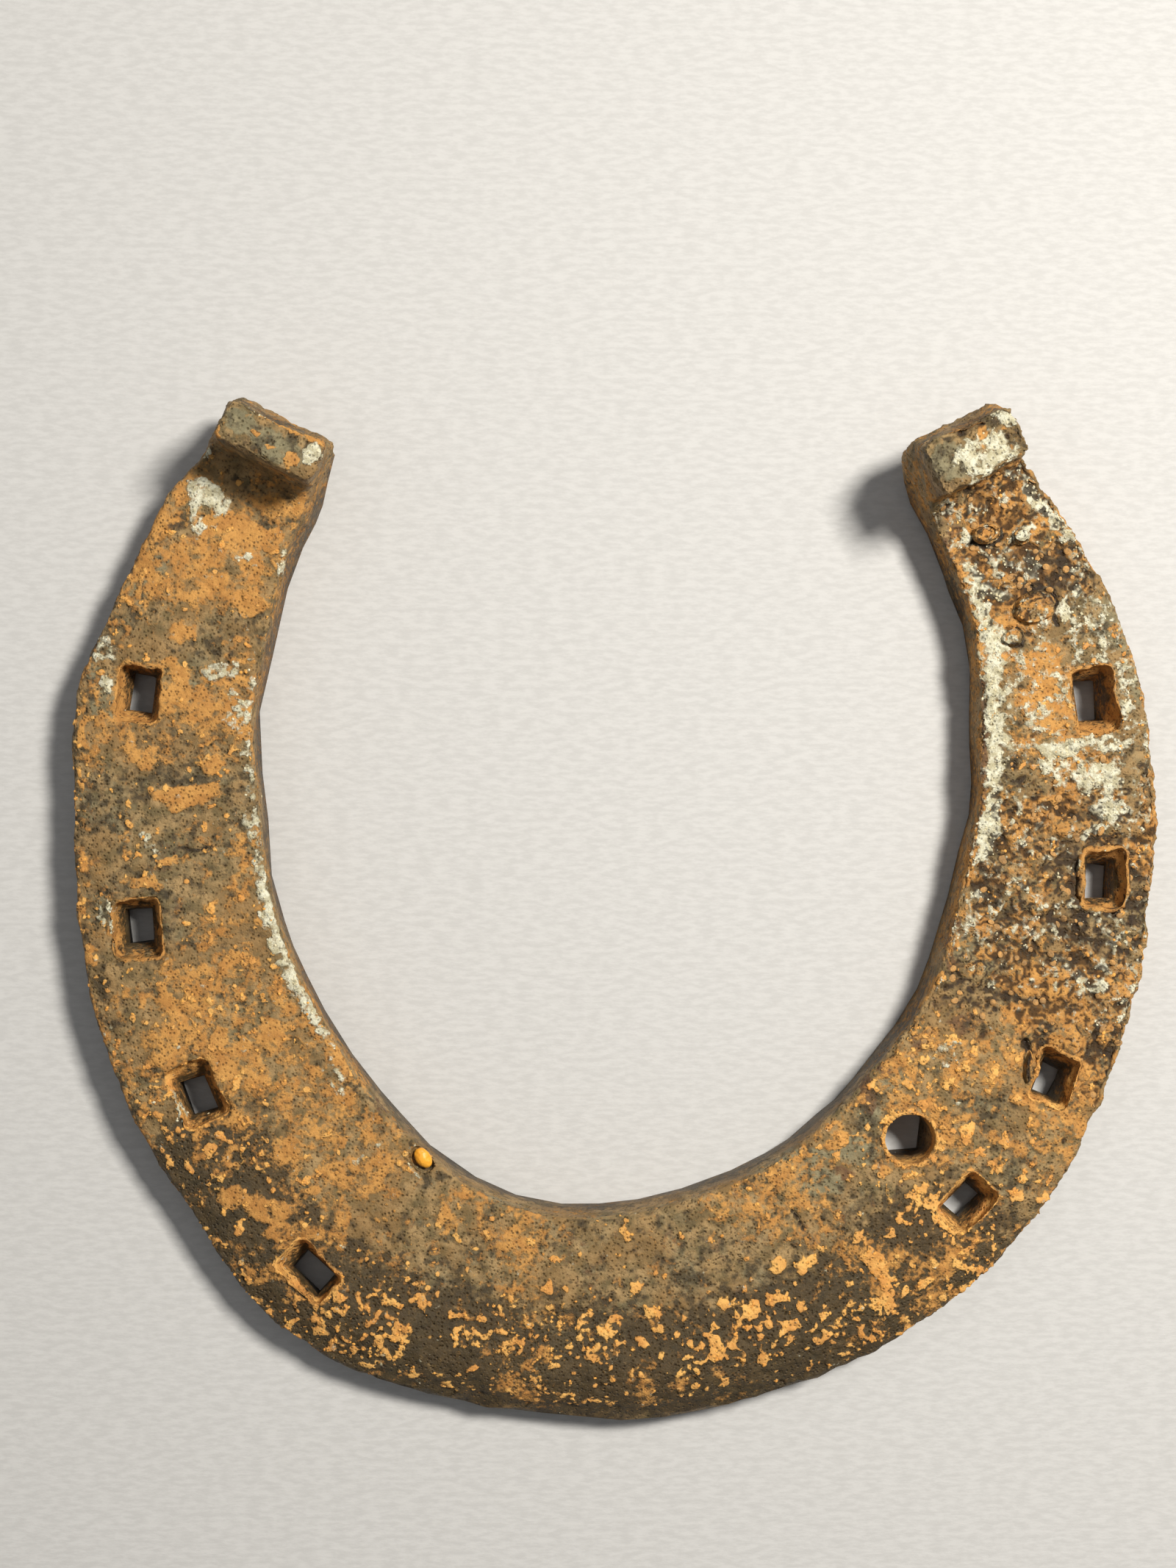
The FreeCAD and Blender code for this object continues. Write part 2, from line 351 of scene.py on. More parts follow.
ORANGE_PATCHES = (
    # left heel and branch
    Patch(-47.0, 33.2, 3.4, 1.9, -14),
    Patch(-42.0, 31.6, 3.4, 1.5, -22, 0.9),
    Patch(-43.2, 27.4, 2.2, 1.6, 0, 0.75),
    Patch(-44.0, 23.4, 3.2, 1.7, -15, 0.8),
    Patch(-50.0, 23.6, 2.8, 1.2, 0, 0.62),
    Patch(-52.4, 19.4, 1.9, 1.5, 20, 0.85),
    Patch(-57.6, 24.5, 0.7, 0.5, 0, 0.85),
    Patch(-53.4, 14.4, 1.8, 1.4, 0, 0.8),
    Patch(-52.4, 12.0, 2.0, 1.0, 0, 0.75),
    Patch(-44.4, 17.0, 1.3, 2.2, 0, 0.7),
    Patch(-47.0, 11.0, 2.0, 1.8, 0, 0.6),
    Patch(-49.0, 2.6, 1.5, 1.1, 0, 0.95),
    Patch(-57.2, 3.2, 1.6, 1.2, 0, 0.85),
    Patch(-52.0, -1.4, 4.6, 1.7, 5, 0.85),
    Patch(-65.0, 6.6, 0.5, 1.2, 0, 0.95),
    Patch(-53.6, -9.8, 1.9, 0.7, 0, 0.85),
    Patch(-57.8, -12.6, 2.8, 1.1, -10, 0.8),
    Patch(-65.2, -10.4, 0.5, 0.6, 0, 0.9),
    Patch(-64.2, -12.8, 0.5, 0.8, 0, 0.7),
    Patch(-64.0, -21.6, 0.8, 1.6, 10, 0.85),
    Patch(-44.2, -9.6, 0.9, 1.6, 0, 0.7),
    # left quarter
    Patch(-54.0, -27.6, 0.8, 2.6, 12, 0.9),
    Patch(-57.6, -28.0, 0.8, 0.7, 0, 0.9),
    Patch(-59.4, -26.2, 1.8, 0.9, 0, 0.6),
    Patch(-52.2, -28.0, 0.4, 1.5, 0, 0.8),
    Patch(-49.6, -27.4, 1.5, 1.2, 0, 0.6),
    Patch(-39.4, -28.6, 1.3, 1.2, 0, 0.75),
    Patch(-43.0, -28.2, 2.2, 0.8, 0, 0.6),
    Patch(-61.0, -29.0, 0.8, 2.4, 8, 0.65),
    Patch(-47.6, -32.8, 1.8, 1.4, 30, 0.9),
    Patch(-44.4, -33.4, 0.7, 1.3, 0, 0.85),
    Patch(-47.4, -36.8, 1.7, 2.2, 0, 0.85),
    Patch(-50.2, -46.2, 1.0, 2.0, 0, 0.7),
    Patch(-47.4, -49.0, 2.6, 1.4, -10, 0.68),
    Patch(-46.2, -53.0, 2.2, 1.7, 0, 0.75),
    Patch(-42.2, -54.4, 2.8, 1.9, -20, 0.85),
    Patch(-40.0, -57.2, 2.4, 1.6, 0, 0.72),
    Patch(-36.8, -56.4, 1.8, 0.8, 0, 0.7),
    Patch(-35.3, -52.4, 1.1, 0.8, -20, 0.85),
    Patch(-30.0, -44.0, 1.2, 0.7, 0, 0.8),
    Patch(-27.0, -56.0, 1.5, 0.6, 0, 0.7),
    Patch(-56.4, -46.0, 0.9, 1.5, 30, 0.7),
    # right heel and branch
    Patch(55.4, 39.4, 2.3, 1.3, -28, 0.95),
    Patch(52.0, 36.8, 2.2, 1.1, 10, 0.75),
    Patch(50.9, 28.8, 1.5, 1.1, 0, 0.95),
    Patch(59.2, 31.0, 1.6, 0.8, 10, 0.75),
    Patch(59.6, 22.0, 1.7, 1.5, 10, 0.8),
    Patch(63.2, 30.2, 0.7, 0.4, 0, 1.0),
    Patch(58.4, 16.0, 3.6, 2.0, 10, 0.9),
    Patch(58.8, 10.6, 2.6, 3.6, 0, 0.9),
    Patch(57.6, 4.4, 2.2, 1.6, 0, 0.7),
    Patch(65.8, 7.2, 2.4, 0.9, 0, 0.85),
    Patch(59.8, -3.4, 4.2, 2.0, 0, 0.9),
    Patch(61.8, -5.4, 2.4, 1.4, 0, 0.9),
    Patch(54.0, -2.0, 1.3, 2.2, 0, 0.65),
    Patch(56.2, -9.0, 2.4, 1.6, 0, 0.7),
    Patch(57.4, -12.0, 2.8, 1.2, 0, 0.7),
    Patch(49.0, -12.6, 0.9, 1.4, 0, 0.9),
    Patch(57.6, -17.2, 2.8, 1.4, 0, 0.65),
    Patch(57.4, -25.6, 4.6, 2.4, 0, 0.85),
    Patch(59.8, -28.6, 3.2, 1.8, 0, 0.85),
    Patch(55.6, -29.6, 3.0, 1.0, 5, 0.85),
    Patch(60.8, -33.4, 1.4, 1.5, 0, 0.8),
    Patch(45.0, -25.2, 0.5, 0.8, 0, 0.9),
    Patch(70.6, -26.2, 0.8, 2.5, -12, 0.9),
    Patch(69.4, -29.8, 0.6, 2.0, -16, 0.85),
    Patch(72.0, -20.4, 0.4, 0.5, 0, 0.9),
    Patch(47.3, -33.6, 0.7, 0.5, 0, 0.8),
    Patch(51.6, -38.2, 1.9, 0.9, 0, 0.7),
    Patch(56.4, -41.2, 2.0, 0.8, -20, 0.9),
    # quarter by the round hole
    Patch(22.0, -48.4, 0.9, 0.6, 0, 0.95),
    Patch(28.5, -47.9, 0.9, 0.4, 0, 0.9),
    Patch(31.8, -46.2, 1.6, 1.2, 20, 0.9),
    Patch(31.8, -44.2, 1.2, 0.4, 10, 0.75),
    Patch(35.6, -46.2, 1.2, 0.6, 0, 0.7),
    Patch(26.4, -50.6, 1.0, 0.4, 0, 0.6),
    Patch(44.0, -41.6, 0.9, 0.7, 0, 0.75),
    Patch(38.4, -50.4, 0.8, 0.5, 0, 0.7),
    Patch(42.0, -50.6, 1.8, 0.7, 0, 0.75),
)
OCHRE_PATCHES = (
    # toe and right quarter
    Patch(24.0, -62.4, 1.1, 1.2),
    Patch(28.0, -62.0, 1.4, 0.8, 20),
    Patch(27.2, -63.2, 0.8, 0.4, 0),
    Patch(30.0, -60.4, 1.0, 0.5, 0, 0.8),
    Patch(34.9, -58.5, 0.8, 1.2, -15),
    Patch(36.7, -62.0, 1.7, 1.1, -30),
    Patch(38.6, -64.6, 0.5, 1.4, 0),
    Patch(37.6, -67.4, 1.6, 0.8, 50),
    Patch(39.0, -67.4, 0.5, 1.4, 0, 0.9),
    Patch(43.6, -64.6, 1.2, 0.6, 10),
    Patch(42.9, -65.2, 0.6, 0.4, 0),
    Patch(41.0, -66.0, 0.7, 0.6, 0),
    Patch(38.8, -58.8, 1.0, 0.6, 10, 0.9),
    Patch(41.2, -58.4, 0.7, 0.4, 0, 0.8),
    Patch(42.0, -62.8, 0.4, 0.5, 0, 0.8),
    Patch(41.5, -61.8, 0.3, 0.3, 0, 0.8),
    Patch(24.4, -66.3, 1.6, 0.7, -12),
    Patch(26.8, -67.6, 0.5, 0.6, 0, 0.8),
    Patch(20.4, -68.0, 1.5, 1.2, 30),
    Patch(17.0, -67.6, 1.0, 0.6, 0, 0.9),
    Patch(19.0, -70.0, 0.5, 0.7, 0, 0.8),
    Patch(21.9, -70.3, 0.5, 0.6, 0, 0.9),
    Patch(25.6, -70.2, 0.9, 0.7, 30, 0.95),
    Patch(22.2, -74.6, 0.5, 0.7, -20),
    Patch(16.4, -73.4, 1.1, 1.2, 20),
    Patch(15.6, -71.6, 0.7, 0.8, 0),
    Patch(18.9, -72.2, 0.6, 0.7, 0, 0.9),
    Patch(13.6, -75.4, 1.6, 0.4, 20, 0.95),
    Patch(11.4, -76.2, 0.8, 0.4, 0, 0.9),
    Patch(13.4, -78.3, 0.5, 0.5),
    Patch(17.2, -78.2, 0.6, 0.3),
    Patch(33.0, -74.0, 0.6, 0.3, 30, 0.9),
    Patch(35.2, -70.7, 0.5, 0.5, 0, 0.85),
    Patch(25.2, -46.6, 0.8, 0.4, 25),
    Patch(41.8, -42.4, 0.5, 0.7, 0, 0.9),
    Patch(48.8, -45.2, 1.1, 1.3, 0, 0.95),
    Patch(50.0, -47.4, 1.0, 0.5, 20, 0.9),
    Patch(51.3, -47.0, 0.4, 0.4, 0, 0.95),
    Patch(54.0, -46.6, 0.8, 1.3, 0, 0.95),
    Patch(55.3, -53.4, 1.2, 0.9, -20, 0.9),
    Patch(56.0, -51.4, 0.9, 0.6, 30, 0.9),
    Patch(60.0, -52.0, 0.4, 1.3, -30, 0.9),
    Patch(52.4, -49.2, 1.0, 0.4, 20, 0.7),
    Patch(46.0, -57.0, 2.0, 0.8, -35, 0.95),
    Patch(44.6, -55.0, 2.0, 0.7, -10, 0.8),
    Patch(41.0, -55.6, 1.5, 0.8, 0, 0.7),
    Patch(53.0, -60.8, 0.3, 0.5, 0, 0.95),
    Patch(50.0, -59.8, 0.8, 0.4, 0, 0.75),
    # middle of the toe
    Patch(5.5, -65.0, 0.7, 0.5, 0, 0.9),
    Patch(7.8, -68.0, 1.4, 1.0, 0, 0.85),
    Patch(9.2, -70.6, 1.1, 0.7, 20, 0.95),
    Patch(6.4, -72.6, 0.7, 0.6, 0, 0.95),
    Patch(3.0, -69.2, 0.5, 0.5, 0, 0.85),
    Patch(-4.6, -61.2, 0.8, 0.5, 0, 0.9),
    Patch(-5.8, -64.8, 0.9, 0.5, 20, 0.9),
    Patch(-8.0, -58.6, 0.5, 0.5, 0, 0.8),
    Patch(-10.6, -66.0, 0.9, 0.6, 0, 0.7),
    Patch(4.0, -57.4, 0.6, 1.4, 10, 0.7),
    Patch(0.5, -74.6, 0.6, 0.4, 0, 0.8),
    # left quarter
    Patch(-26.0, -66.6, 2.0, 0.8, -20, 0.85),
    Patch(-22.0, -66.6, 0.7, 1.2, 0, 0.9),
    Patch(-31.0, -73.0, 0.5, 0.7, 0, 0.95),
    Patch(-29.0, -75.3, 1.2, 0.3, -20, 0.85),
    Patch(-25.0, -69.9, 0.4, 0.4, 0, 0.9),
    Patch(-26.2, -69.6, 0.3, 0.3, 0, 0.9),
    Patch(-39.0, -69.7, 0.5, 0.4, 0, 0.9),
    Patch(-54.0, -48.7, 0.5, 0.5, 0, 1.0),
    Patch(-54.4, -39.4, 0.3, 0.5, 10, 1.0),
    Patch(-30.9, -37.2, 0.5, 0.4, 0, 0.8),
    Patch(-45.2, -56.8, 0.5, 0.9, 0, 0.85),
    Patch(-41.6, -53.4, 0.5, 0.4, 0, 0.8),
    Patch(-44.0, -63.8, 0.5, 0.9, 40, 0.8),
    Patch(-51.6, -17.9, 0.35, 0.3, 0, 1.0),
    Patch(-52.4, -20.3, 0.35, 0.35, 0, 0.9),
    Patch(-61.2, -34.0, 0.4, 0.9, 0, 0.8),
    Patch(-60.6, -35.8, 0.3, 0.4, 0, 0.9),
)
DARK_PATCHES = (
    Patch(-54.5, 32.6, 3.6, 2.2, 35, 0.8),
    Patch(-58.0, 27.8, 1.2, 2.0, 0, 0.7),
    Patch(-49.4, 27.0, 0.9, 0.6, 0, 0.8),
    Patch(-44.4, 29.4, 1.0, 0.5, 30, 0.7),
    Patch(-48.2, 18.2, 1.4, 1.1, 0, 0.75),
    Patch(-46.4, 16.4, 0.8, 0.7, 0, 0.85),
    Patch(-55.4, 23.4, 0.7, 0.7, 0, 0.7),
    Patch(-45.4, 20.6, 0.4, 0.4, 0, 0.9),
    Patch(-58.0, -22.4, 4.0, 1.2, 0, 0.55),
    Patch(-49.6, -49.2, 1.2, 0.8, 0, 0.8),
    Patch(-45.6, -58.4, 1.4, 1.2, 0, 0.85),
    Patch(-39.8, -58.8, 1.3, 0.5, 20, 0.95),
    Patch(-42.6, -40.8, 0.4, 0.4, 0, 0.9),
    Patch(-34.0, -40.8, 0.5, 0.5, 0, 0.85),
    Patch(-33.0, -48.2, 0.6, 0.5, 0, 0.7),
    Patch(-26.0, -48.0, 0.7, 0.6, 0, 0.8),
    Patch(-22.9, -46.4, 0.6, 0.5, 0, 0.9),
    Patch(-25.0, -43.4, 0.5, 0.5, 0, 0.8),
    Patch(58.6, 26.2, 3.2, 1.4, -10, 0.8),
    Patch(55.4, 24.0, 1.8, 1.2, 20, 0.65),
    Patch(57.6, 38.4, 1.2, 0.7, 10, 0.95),
    Patch(57.6, 28.2, 1.0, 0.6, 0, 0.9),
    Patch(53.0, 28.2, 0.9, 0.5, 0, 0.9),
    Patch(61.8, 30.8, 1.4, 0.9, 0, 0.7),
    Patch(56.0, 7.0, 0.9, 0.8, 0, 0.7),
    Patch(53.6, -7.6, 0.6, 1.0, 0, 0.8),
    Patch(62.4, -18.2, 2.0, 1.4, 0, 0.6),
    Patch(16.3, -62.6, 0.6, 0.5, 0, 1.0),
    Patch(48.2, -35.8, 0.5, 0.4, 0, 0.9),
    Patch(50.2, -32.0, 1.6, 1.2, 0, 0.6),
    Patch(68.4, -16.2, 2.0, 1.0, 0, 0.6),
)
BROWN_PATCHES = (
    Patch(36.0, -40.4, 1.1, 2.6, 10, 0.85),
    Patch(38.0, -36.9, 0.9, 0.7, 0, 0.9),
    Patch(43.0, -33.0, 1.8, 1.4, 20, 0.7),
    Patch(49.0, -31.4, 3.0, 1.8, 0, 0.6),
    Patch(47.4, 31.0, 1.2, 2.6, 15, 0.95),
    Patch(47.2, -19.6, 1.6, 2.2, 0, 0.7),
    Patch(46.6, -23.4, 1.2, 1.4, 0, 0.7),
    Patch(33.0, -50.4, 1.6, 1.0, -20, 0.7),
    Patch(34.0, -52.8, 1.0, 0.7, 0, 0.6),
    Patch(-50.2, 31.2, 1.2, 0.9, 0, 0.85),
    Patch(-53.0, 33.0, 1.6, 1.0, 0, 0.8),
    Patch(-26.8, -41.0, 1.4, 0.8, -35, 0.7),
    Patch(18.5, -53.6, 1.0, 0.9, 0, 0.6),
    Patch(27.0, -56.6, 1.0, 0.9, 0, 0.6),
)
GREY_PATCHES = (
    Patch(29.0, -51.4, 3.6, 1.8, -10),
    Patch(27.6, -48.6, 4.0, 1.4, 12, 0.9),
    Patch(34.6, -47.6, 2.6, 1.6, 0, 0.8),
    Patch(36.0, -43.2, 1.6, 2.4, 0, 0.75),
    Patch(39.4, -38.6, 2.2, 1.2, 0, 0.7),
    Patch(-55.4, 28.2, 1.4, 1.2, 0, 0.9),
    Patch(-57.0, 25.6, 1.4, 0.9, 0, 0.8),
    Patch(-63.4, 12.0, 1.1, 4.2, 3, 0.95),
    Patch(-61.6, 10.8, 0.9, 3.0, 0, 0.7),
    Patch(-51.2, 12.6, 1.0, 0.9, 0, 0.9),
    Patch(-53.0, 24.4, 1.6, 1.2, 0, 0.6),
    Patch(-62.6, -15.6, 1.2, 2.4, 0, 0.6),
    Patch(-58.6, -7.0, 2.4, 2.2, 0, 0.4),
    Patch(68.6, 21.0, 1.6, 4.6, 20, 0.75),
    Patch(71.4, 14.0, 1.0, 4.0, 5, 0.7),
    Patch(55.0, 23.6, 2.6, 1.6, 0, 0.5),
    Patch(48.6, -20.6, 2.4, 3.0, 0, 0.6),
    Patch(51.0, -22.4, 2.4, 2.0, 0, 0.55),
)
LEFT_TIP_ORANGE = (
    Patch(-42.0, 43.4, 0.6, 0.5, 0, 0.9),
    Patch(-40.2, 41.8, 0.6, 0.5, 0, 1.0),
    Patch(-37.9, 39.8, 0.9, 0.9, 0, 0.9),
    Patch(-46.2, 44.0, 0.5, 0.4, 0, 0.7),
    Patch(-47.0, 42.6, 0.5, 1.0, 30, 0.9),
    Patch(-34.6, 42.6, 2.2, 0.7, -22, 0.9),
    Patch(-38.6, 44.2, 3.6, 0.45, -30, 0.8),
)
RIGHT_TIP_ORANGE = (
    Patch(48.5, 44.2, 0.9, 0.8, 0, 0.95),
    Patch(50.6, 42.8, 1.0, 0.9, 0, 0.75),
    Patch(48.2, 42.4, 0.5, 0.7, 0, 0.75),
    Patch(51.6, 44.6, 0.6, 0.5, 0, 0.6),
    Patch(46.4, 46.6, 3.2, 0.8, 38, 0.8),
)
TIP_LIME = (
    Patch(-35.2, 40.8, 1.2, 1.2, 0, 1.0),
    Patch(-41.4, 46.0, 2.6, 0.35, -36, 0.8),
    Patch(51.4, 46.4, 2.2, 1.1, -30, 1.0),
    Patch(48.6, 41.4, 3.6, 2.4, 20, 0.95),
    Patch(46.6, 38.6, 2.4, 1.0, -10, 0.45),
    Patch(52.0, 41.6, 1.8, 1.6, 0, 0.6),
)
TIP_GREY = (
    Patch(-43.6, 44.4, 2.6, 1.4, -30, 0.95),
    Patch(-39.6, 41.6, 3.8, 1.8, -28, 0.85),
    Patch(44.6, 40.6, 2.6, 2.2, 0, 1.0),
    Patch(47.0, 39.6, 3.0, 1.2, 15, 0.7),
)
CRACKS = (
    Crack(((60.2, 25.0), (60.9, 23.6), (60.4, 22.2), (60.9, 20.8)), 0.42),
    Crack(((57.0, 25.2), (59.0, 25.8), (60.4, 25.0)), 0.3),
    Crack(((56.8, -33.4), (57.2, -34.8), (56.6, -36.6), (57.0, -38.6)), 0.4),
    Crack(((26.0, -55.2), (26.8, -56.4), (27.6, -57.8)), 0.28),
    Crack(((-52.4, -8.2), (-50.6, -8.5), (-49.2, -8.0)), 0.25),
    Crack(((54.6, 18.2), (56.2, 18.0), (56.4, 19.4), (55.6, 20.4)), 0.35),
    Crack(((49.8, 31.6), (51.4, 31.0), (53.4, 31.8), (53.6, 33.2)), 0.32),
)
DENTS = (
    Dent(-67.0, 0.6, 7.5, 2.6, 0.55),
    Dent(-67.0, -4.0, 8.5, 1.6, 0.3),
    Dent(-53.0, -56.5, 6.5, 3.6, 0.55),
    Dent(-64.6, 21.0, 8.0, 3.0, 0.35),
    Dent(73.8, -16.0, 7.5, 3.4, 0.4),
    Dent(66.5, -45.5, 7.0, 3.2, 0.35),
    Dent(16.6, -62.8, 9.5, 2.6, 0.32),
    Dent(16.3, -62.7, 9.5, 0.7, 0.45),
    Dent(18.6, -53.6, 9.5, 1.3, 0.2),
    Dent(49.6, -12.8, 9.5, 1.6, 0.35),
    Dent(57.6, 38.4, 9.8, 1.0, 0.55),
    Dent(53.6, 28.4, 9.5, 0.8, 0.5),
    Dent(57.8, 28.2, 9.5, 0.9, 0.5),
    Dent(53.6, -7.6, 9.5, 1.0, 0.4),
    Dent(61.6, 10.2, 9.5, 0.9, 0.3),
    Dent(36.0, -41.6, 9.5, 1.5, 0.22),
    Dent(-22.0, -48.3, 9.5, 2.3, 0.3),
    Dent(-58.6, 27.4, 9.3, 1.6, 0.25),
    Dent(46.6, 49.0, 19.5, 4.2, 1.7),
    Dent(-39.0, 47.2, 19.5, 4.0, 1.2),
    Dent(57.6, 42.4, 17.0, 1.8, 0.5),
    Dent(-48.4, 43.8, 17.0, 1.6, 0.45),
    Dent(41.0, 41.0, 15.0, 1.8, 0.4),
)

# How strongly bright rust, and how roughly the corroded relief, runs along the bar: pairs of an
# angle in degrees round the shoe (0 at the toe, below 0 on the left branch) and a share.
RUST_ROUND_THE_BAR = (
    (-140, 0.44), (-118, 0.46), (-105, 0.46), (-85, 0.41), (-70, 0.38), (-50, 0.45), (-38, 0.42),
    (-22, 0.26), (0, 0.30), (18, 0.28), (38, 0.28), (55, 0.41), (72, 0.53), (92, 0.55), (140, 0.46),
)
RELIEF_ROUND_THE_BAR = (
    (-140, 1.0), (-100, 0.8), (-60, 0.6), (-25, 0.75), (0, 0.65), (25, 0.8), (45, 0.8),
    (60, 1.3), (72, 1.7), (85, 1.6), (100, 1.2), (112, 1.6), (125, 1.8), (140, 1.2),
)


# ---------------------------------------------------------------------------
# The surface of the bar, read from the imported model
# ---------------------------------------------------------------------------


@dataclass
class ShoeOutline:
    """The bar's edges and the walls of its holes, read from its own surface.

    Args:
        places: Places on the bar in millimetres from the point between the branches.
        normals: Unit normals of the surface at those places.
        axes: Axes of the nail holes and of the round hole, in the same millimetres.
        crusts: How thickly rust lines each hole, from 0 to 1.
    """

    places: Array
    normals: Array
    axes: Array
    crusts: list[float]

    # Heights between which the bar's side walls are read, and above which a hole's rim is.
    wall_low: float = 2.5
    wall_high: float = 6.5
    rim_low: float = 7.6
    # How far round from the toe the edges are read, in degrees.
    turn: float = 146.0
    # A hole's wall: how far it is from the axis, how high, how upright and how much it faces in.
    hole_reach: float = 5.4
    hole_top: float = 9.4
    upright: float = 0.6
    facing: float = 0.25

    def __post_init__(self) -> None:
        """Reads both edges at each degree round the shoe, and each hole's rim."""
        flat = self.places[:, :2]
        height = self.places[:, 2]
        wall = (height > self.wall_low) & (height < self.wall_high)
        from_middle = np.linalg.norm(flat, axis=1)
        angle = np.degrees(np.arctan2(flat[:, 0], -flat[:, 1]))
        count = int(2 * self.turn) + 1
        bins = np.clip(np.round(angle + self.turn).astype(int), 0, count - 1)
        inner = np.full(count, np.inf)
        outer = np.zeros(count)
        np.minimum.at(inner, bins[wall], from_middle[wall])
        np.maximum.at(outer, bins[wall], from_middle[wall])
        seen = outer > 0
        self.angles = (np.arange(count) - self.turn)[seen]
        self.inner = inner[seen]
        self.outer = outer[seen]
        self.rims = [self.rim(axis) for axis in self.axes]

    def walls(self, axis: Array, places: Array, normals: Array) -> Array:
        """Finds the wall of one hole.

        Args:
            axis: The hole's axis.
            places: Places in millimetres.
            normals: Unit normals at those places.

        Returns:
            True for each place that lies on the wall.
        """
        to_axis = axis - places[:, :2]
        away = np.linalg.norm(to_axis, axis=1)
        faces_axis = np.sum(normals[:, :2] * to_axis, axis=1) > self.facing * away
        upright = np.abs(normals[:, 2]) < self.upright
        return (away < self.hole_reach) & upright & faces_axis & (places[:, 2] < self.hole_top)

    def rim(self, axis: Array) -> KDTree:
        """Reads the rim of one hole.

        Args:
            axis: The hole's axis.

        Returns:
            The wall near the ground face, as a tree of flat places.
        """
        wall = self.walls(axis, self.places, self.normals)
        rim = np.flatnonzero(wall & (self.places[:, 2] > self.rim_low))
        tree = KDTree(len(rim))
        for index in rim:
            tree.insert((*self.places[index, :2], 0.0), int(index))
        tree.balance()
        return tree


@dataclass
class ShoeChart:
    """Where each place of a surface lies on the shoe.

    Its shares say how far a place is on the ground face (ground), on a calk's tip (tip), in the
    bar's upper half (upper), on the hoof face (hoof) or on a hole's rusted wall (in_hole).

    Args:
        outline: The edges of the bar and of its holes.
        places: Places in millimetres from the point between the branches.
        normals: Unit normals of the surface at those places.
    """

    outline: ShoeOutline
    places: Array
    normals: Array

    # How far beyond a hole's wall its distance is still worked out, and what it is past that.
    near_hole: float = 3.0
    far: float = 99.0

    def __post_init__(self) -> None:
        """Works out each place's angle round the shoe and its distance from every edge."""
        flat = self.places[:, :2]
        outline = self.outline
        self.height = self.places[:, 2]
        self.angle = np.degrees(np.arctan2(flat[:, 0], -flat[:, 1]))
        from_middle = np.linalg.norm(flat, axis=1)
        self.inner_gap = from_middle - np.interp(self.angle, outline.angles, outline.inner)
        self.outer_gap = np.interp(self.angle, outline.angles, outline.outer) - from_middle
        self.hole_gap, self.in_hole = self.gap_to_holes(flat)
        self.up = self.normals[:, 2]
        self.ground = (
            ramp(0.3, 0.75, self.up) * ramp(6.0, 7.6, self.height)
            * (1.0 - ramp(11.0, 13.0, self.height))
        )
        self.tip = ramp(16.5, 18.5, self.height)
        self.upper = ramp(4.8, 7.4, self.height) * (1.0 - ramp(13.0, 15.0, self.height))
        self.hoof = ramp(0.4, 0.9, -self.up)

    def gap_to_holes(self, flat: Array) -> tuple[Array, Array]:
        """Measures how far each place is from the holes.

        Args:
            flat: The places without their heights.

        Returns:
            The distance to the nearest hole's wall, and how thickly rust lines a place that is
            on such a wall, which is 0 elsewhere.
        """
        gap = np.full(len(flat), self.far)
        in_hole = np.zeros(len(flat))
        for axis, rim, crust in zip(self.outline.axes, self.outline.rims, self.outline.crusts):
            wall = self.outline.walls(axis, self.places, self.normals)
            in_hole[wall] = crust
            reach = self.outline.hole_reach + self.near_hole
            near = np.linalg.norm(axis - flat, axis=1) < reach
            for index in np.flatnonzero(near & ~wall):
                gap[index] = min(gap[index], rim.find((*flat[index], 0.0))[2])
        gap[in_hole > 0] = 0.0
        return gap, in_hole

    def along(self, shares: tuple[tuple[float, float], ...]) -> Array:
        """A share that changes round the shoe, read at each place."""
        angles, values = zip(*shares)
        return np.interp(self.angle, angles, values)


class Finish(Enum):
    """The finishes that lie on the iron, and painted shade on its walls and in its hollows. Each
    value is the name of its attribute.
    """

    LIME = "lime"
    ORANGE = "orange"
    OCHRE = "ochre"
    # Dark patina, with painted shade on the walls, low in the holes and in the cracks.
    DARK = "dark"
    BROWN = "brown"
    GREY = "grey"
    # Painted shade in pits, cracks and the broken edges of terraces, not a finish on the iron.
    HOLLOW = "hollow"
    FLAKY = "flaky"
    CRUMBS = "crumbs"
    GRAINS = "grains"


def lies(field: Array) -> Array:
    """1 where a finish's field is well over a half and so the finish lies, 0 where it doesn't."""
    return ramp(0.42, 0.58, field)


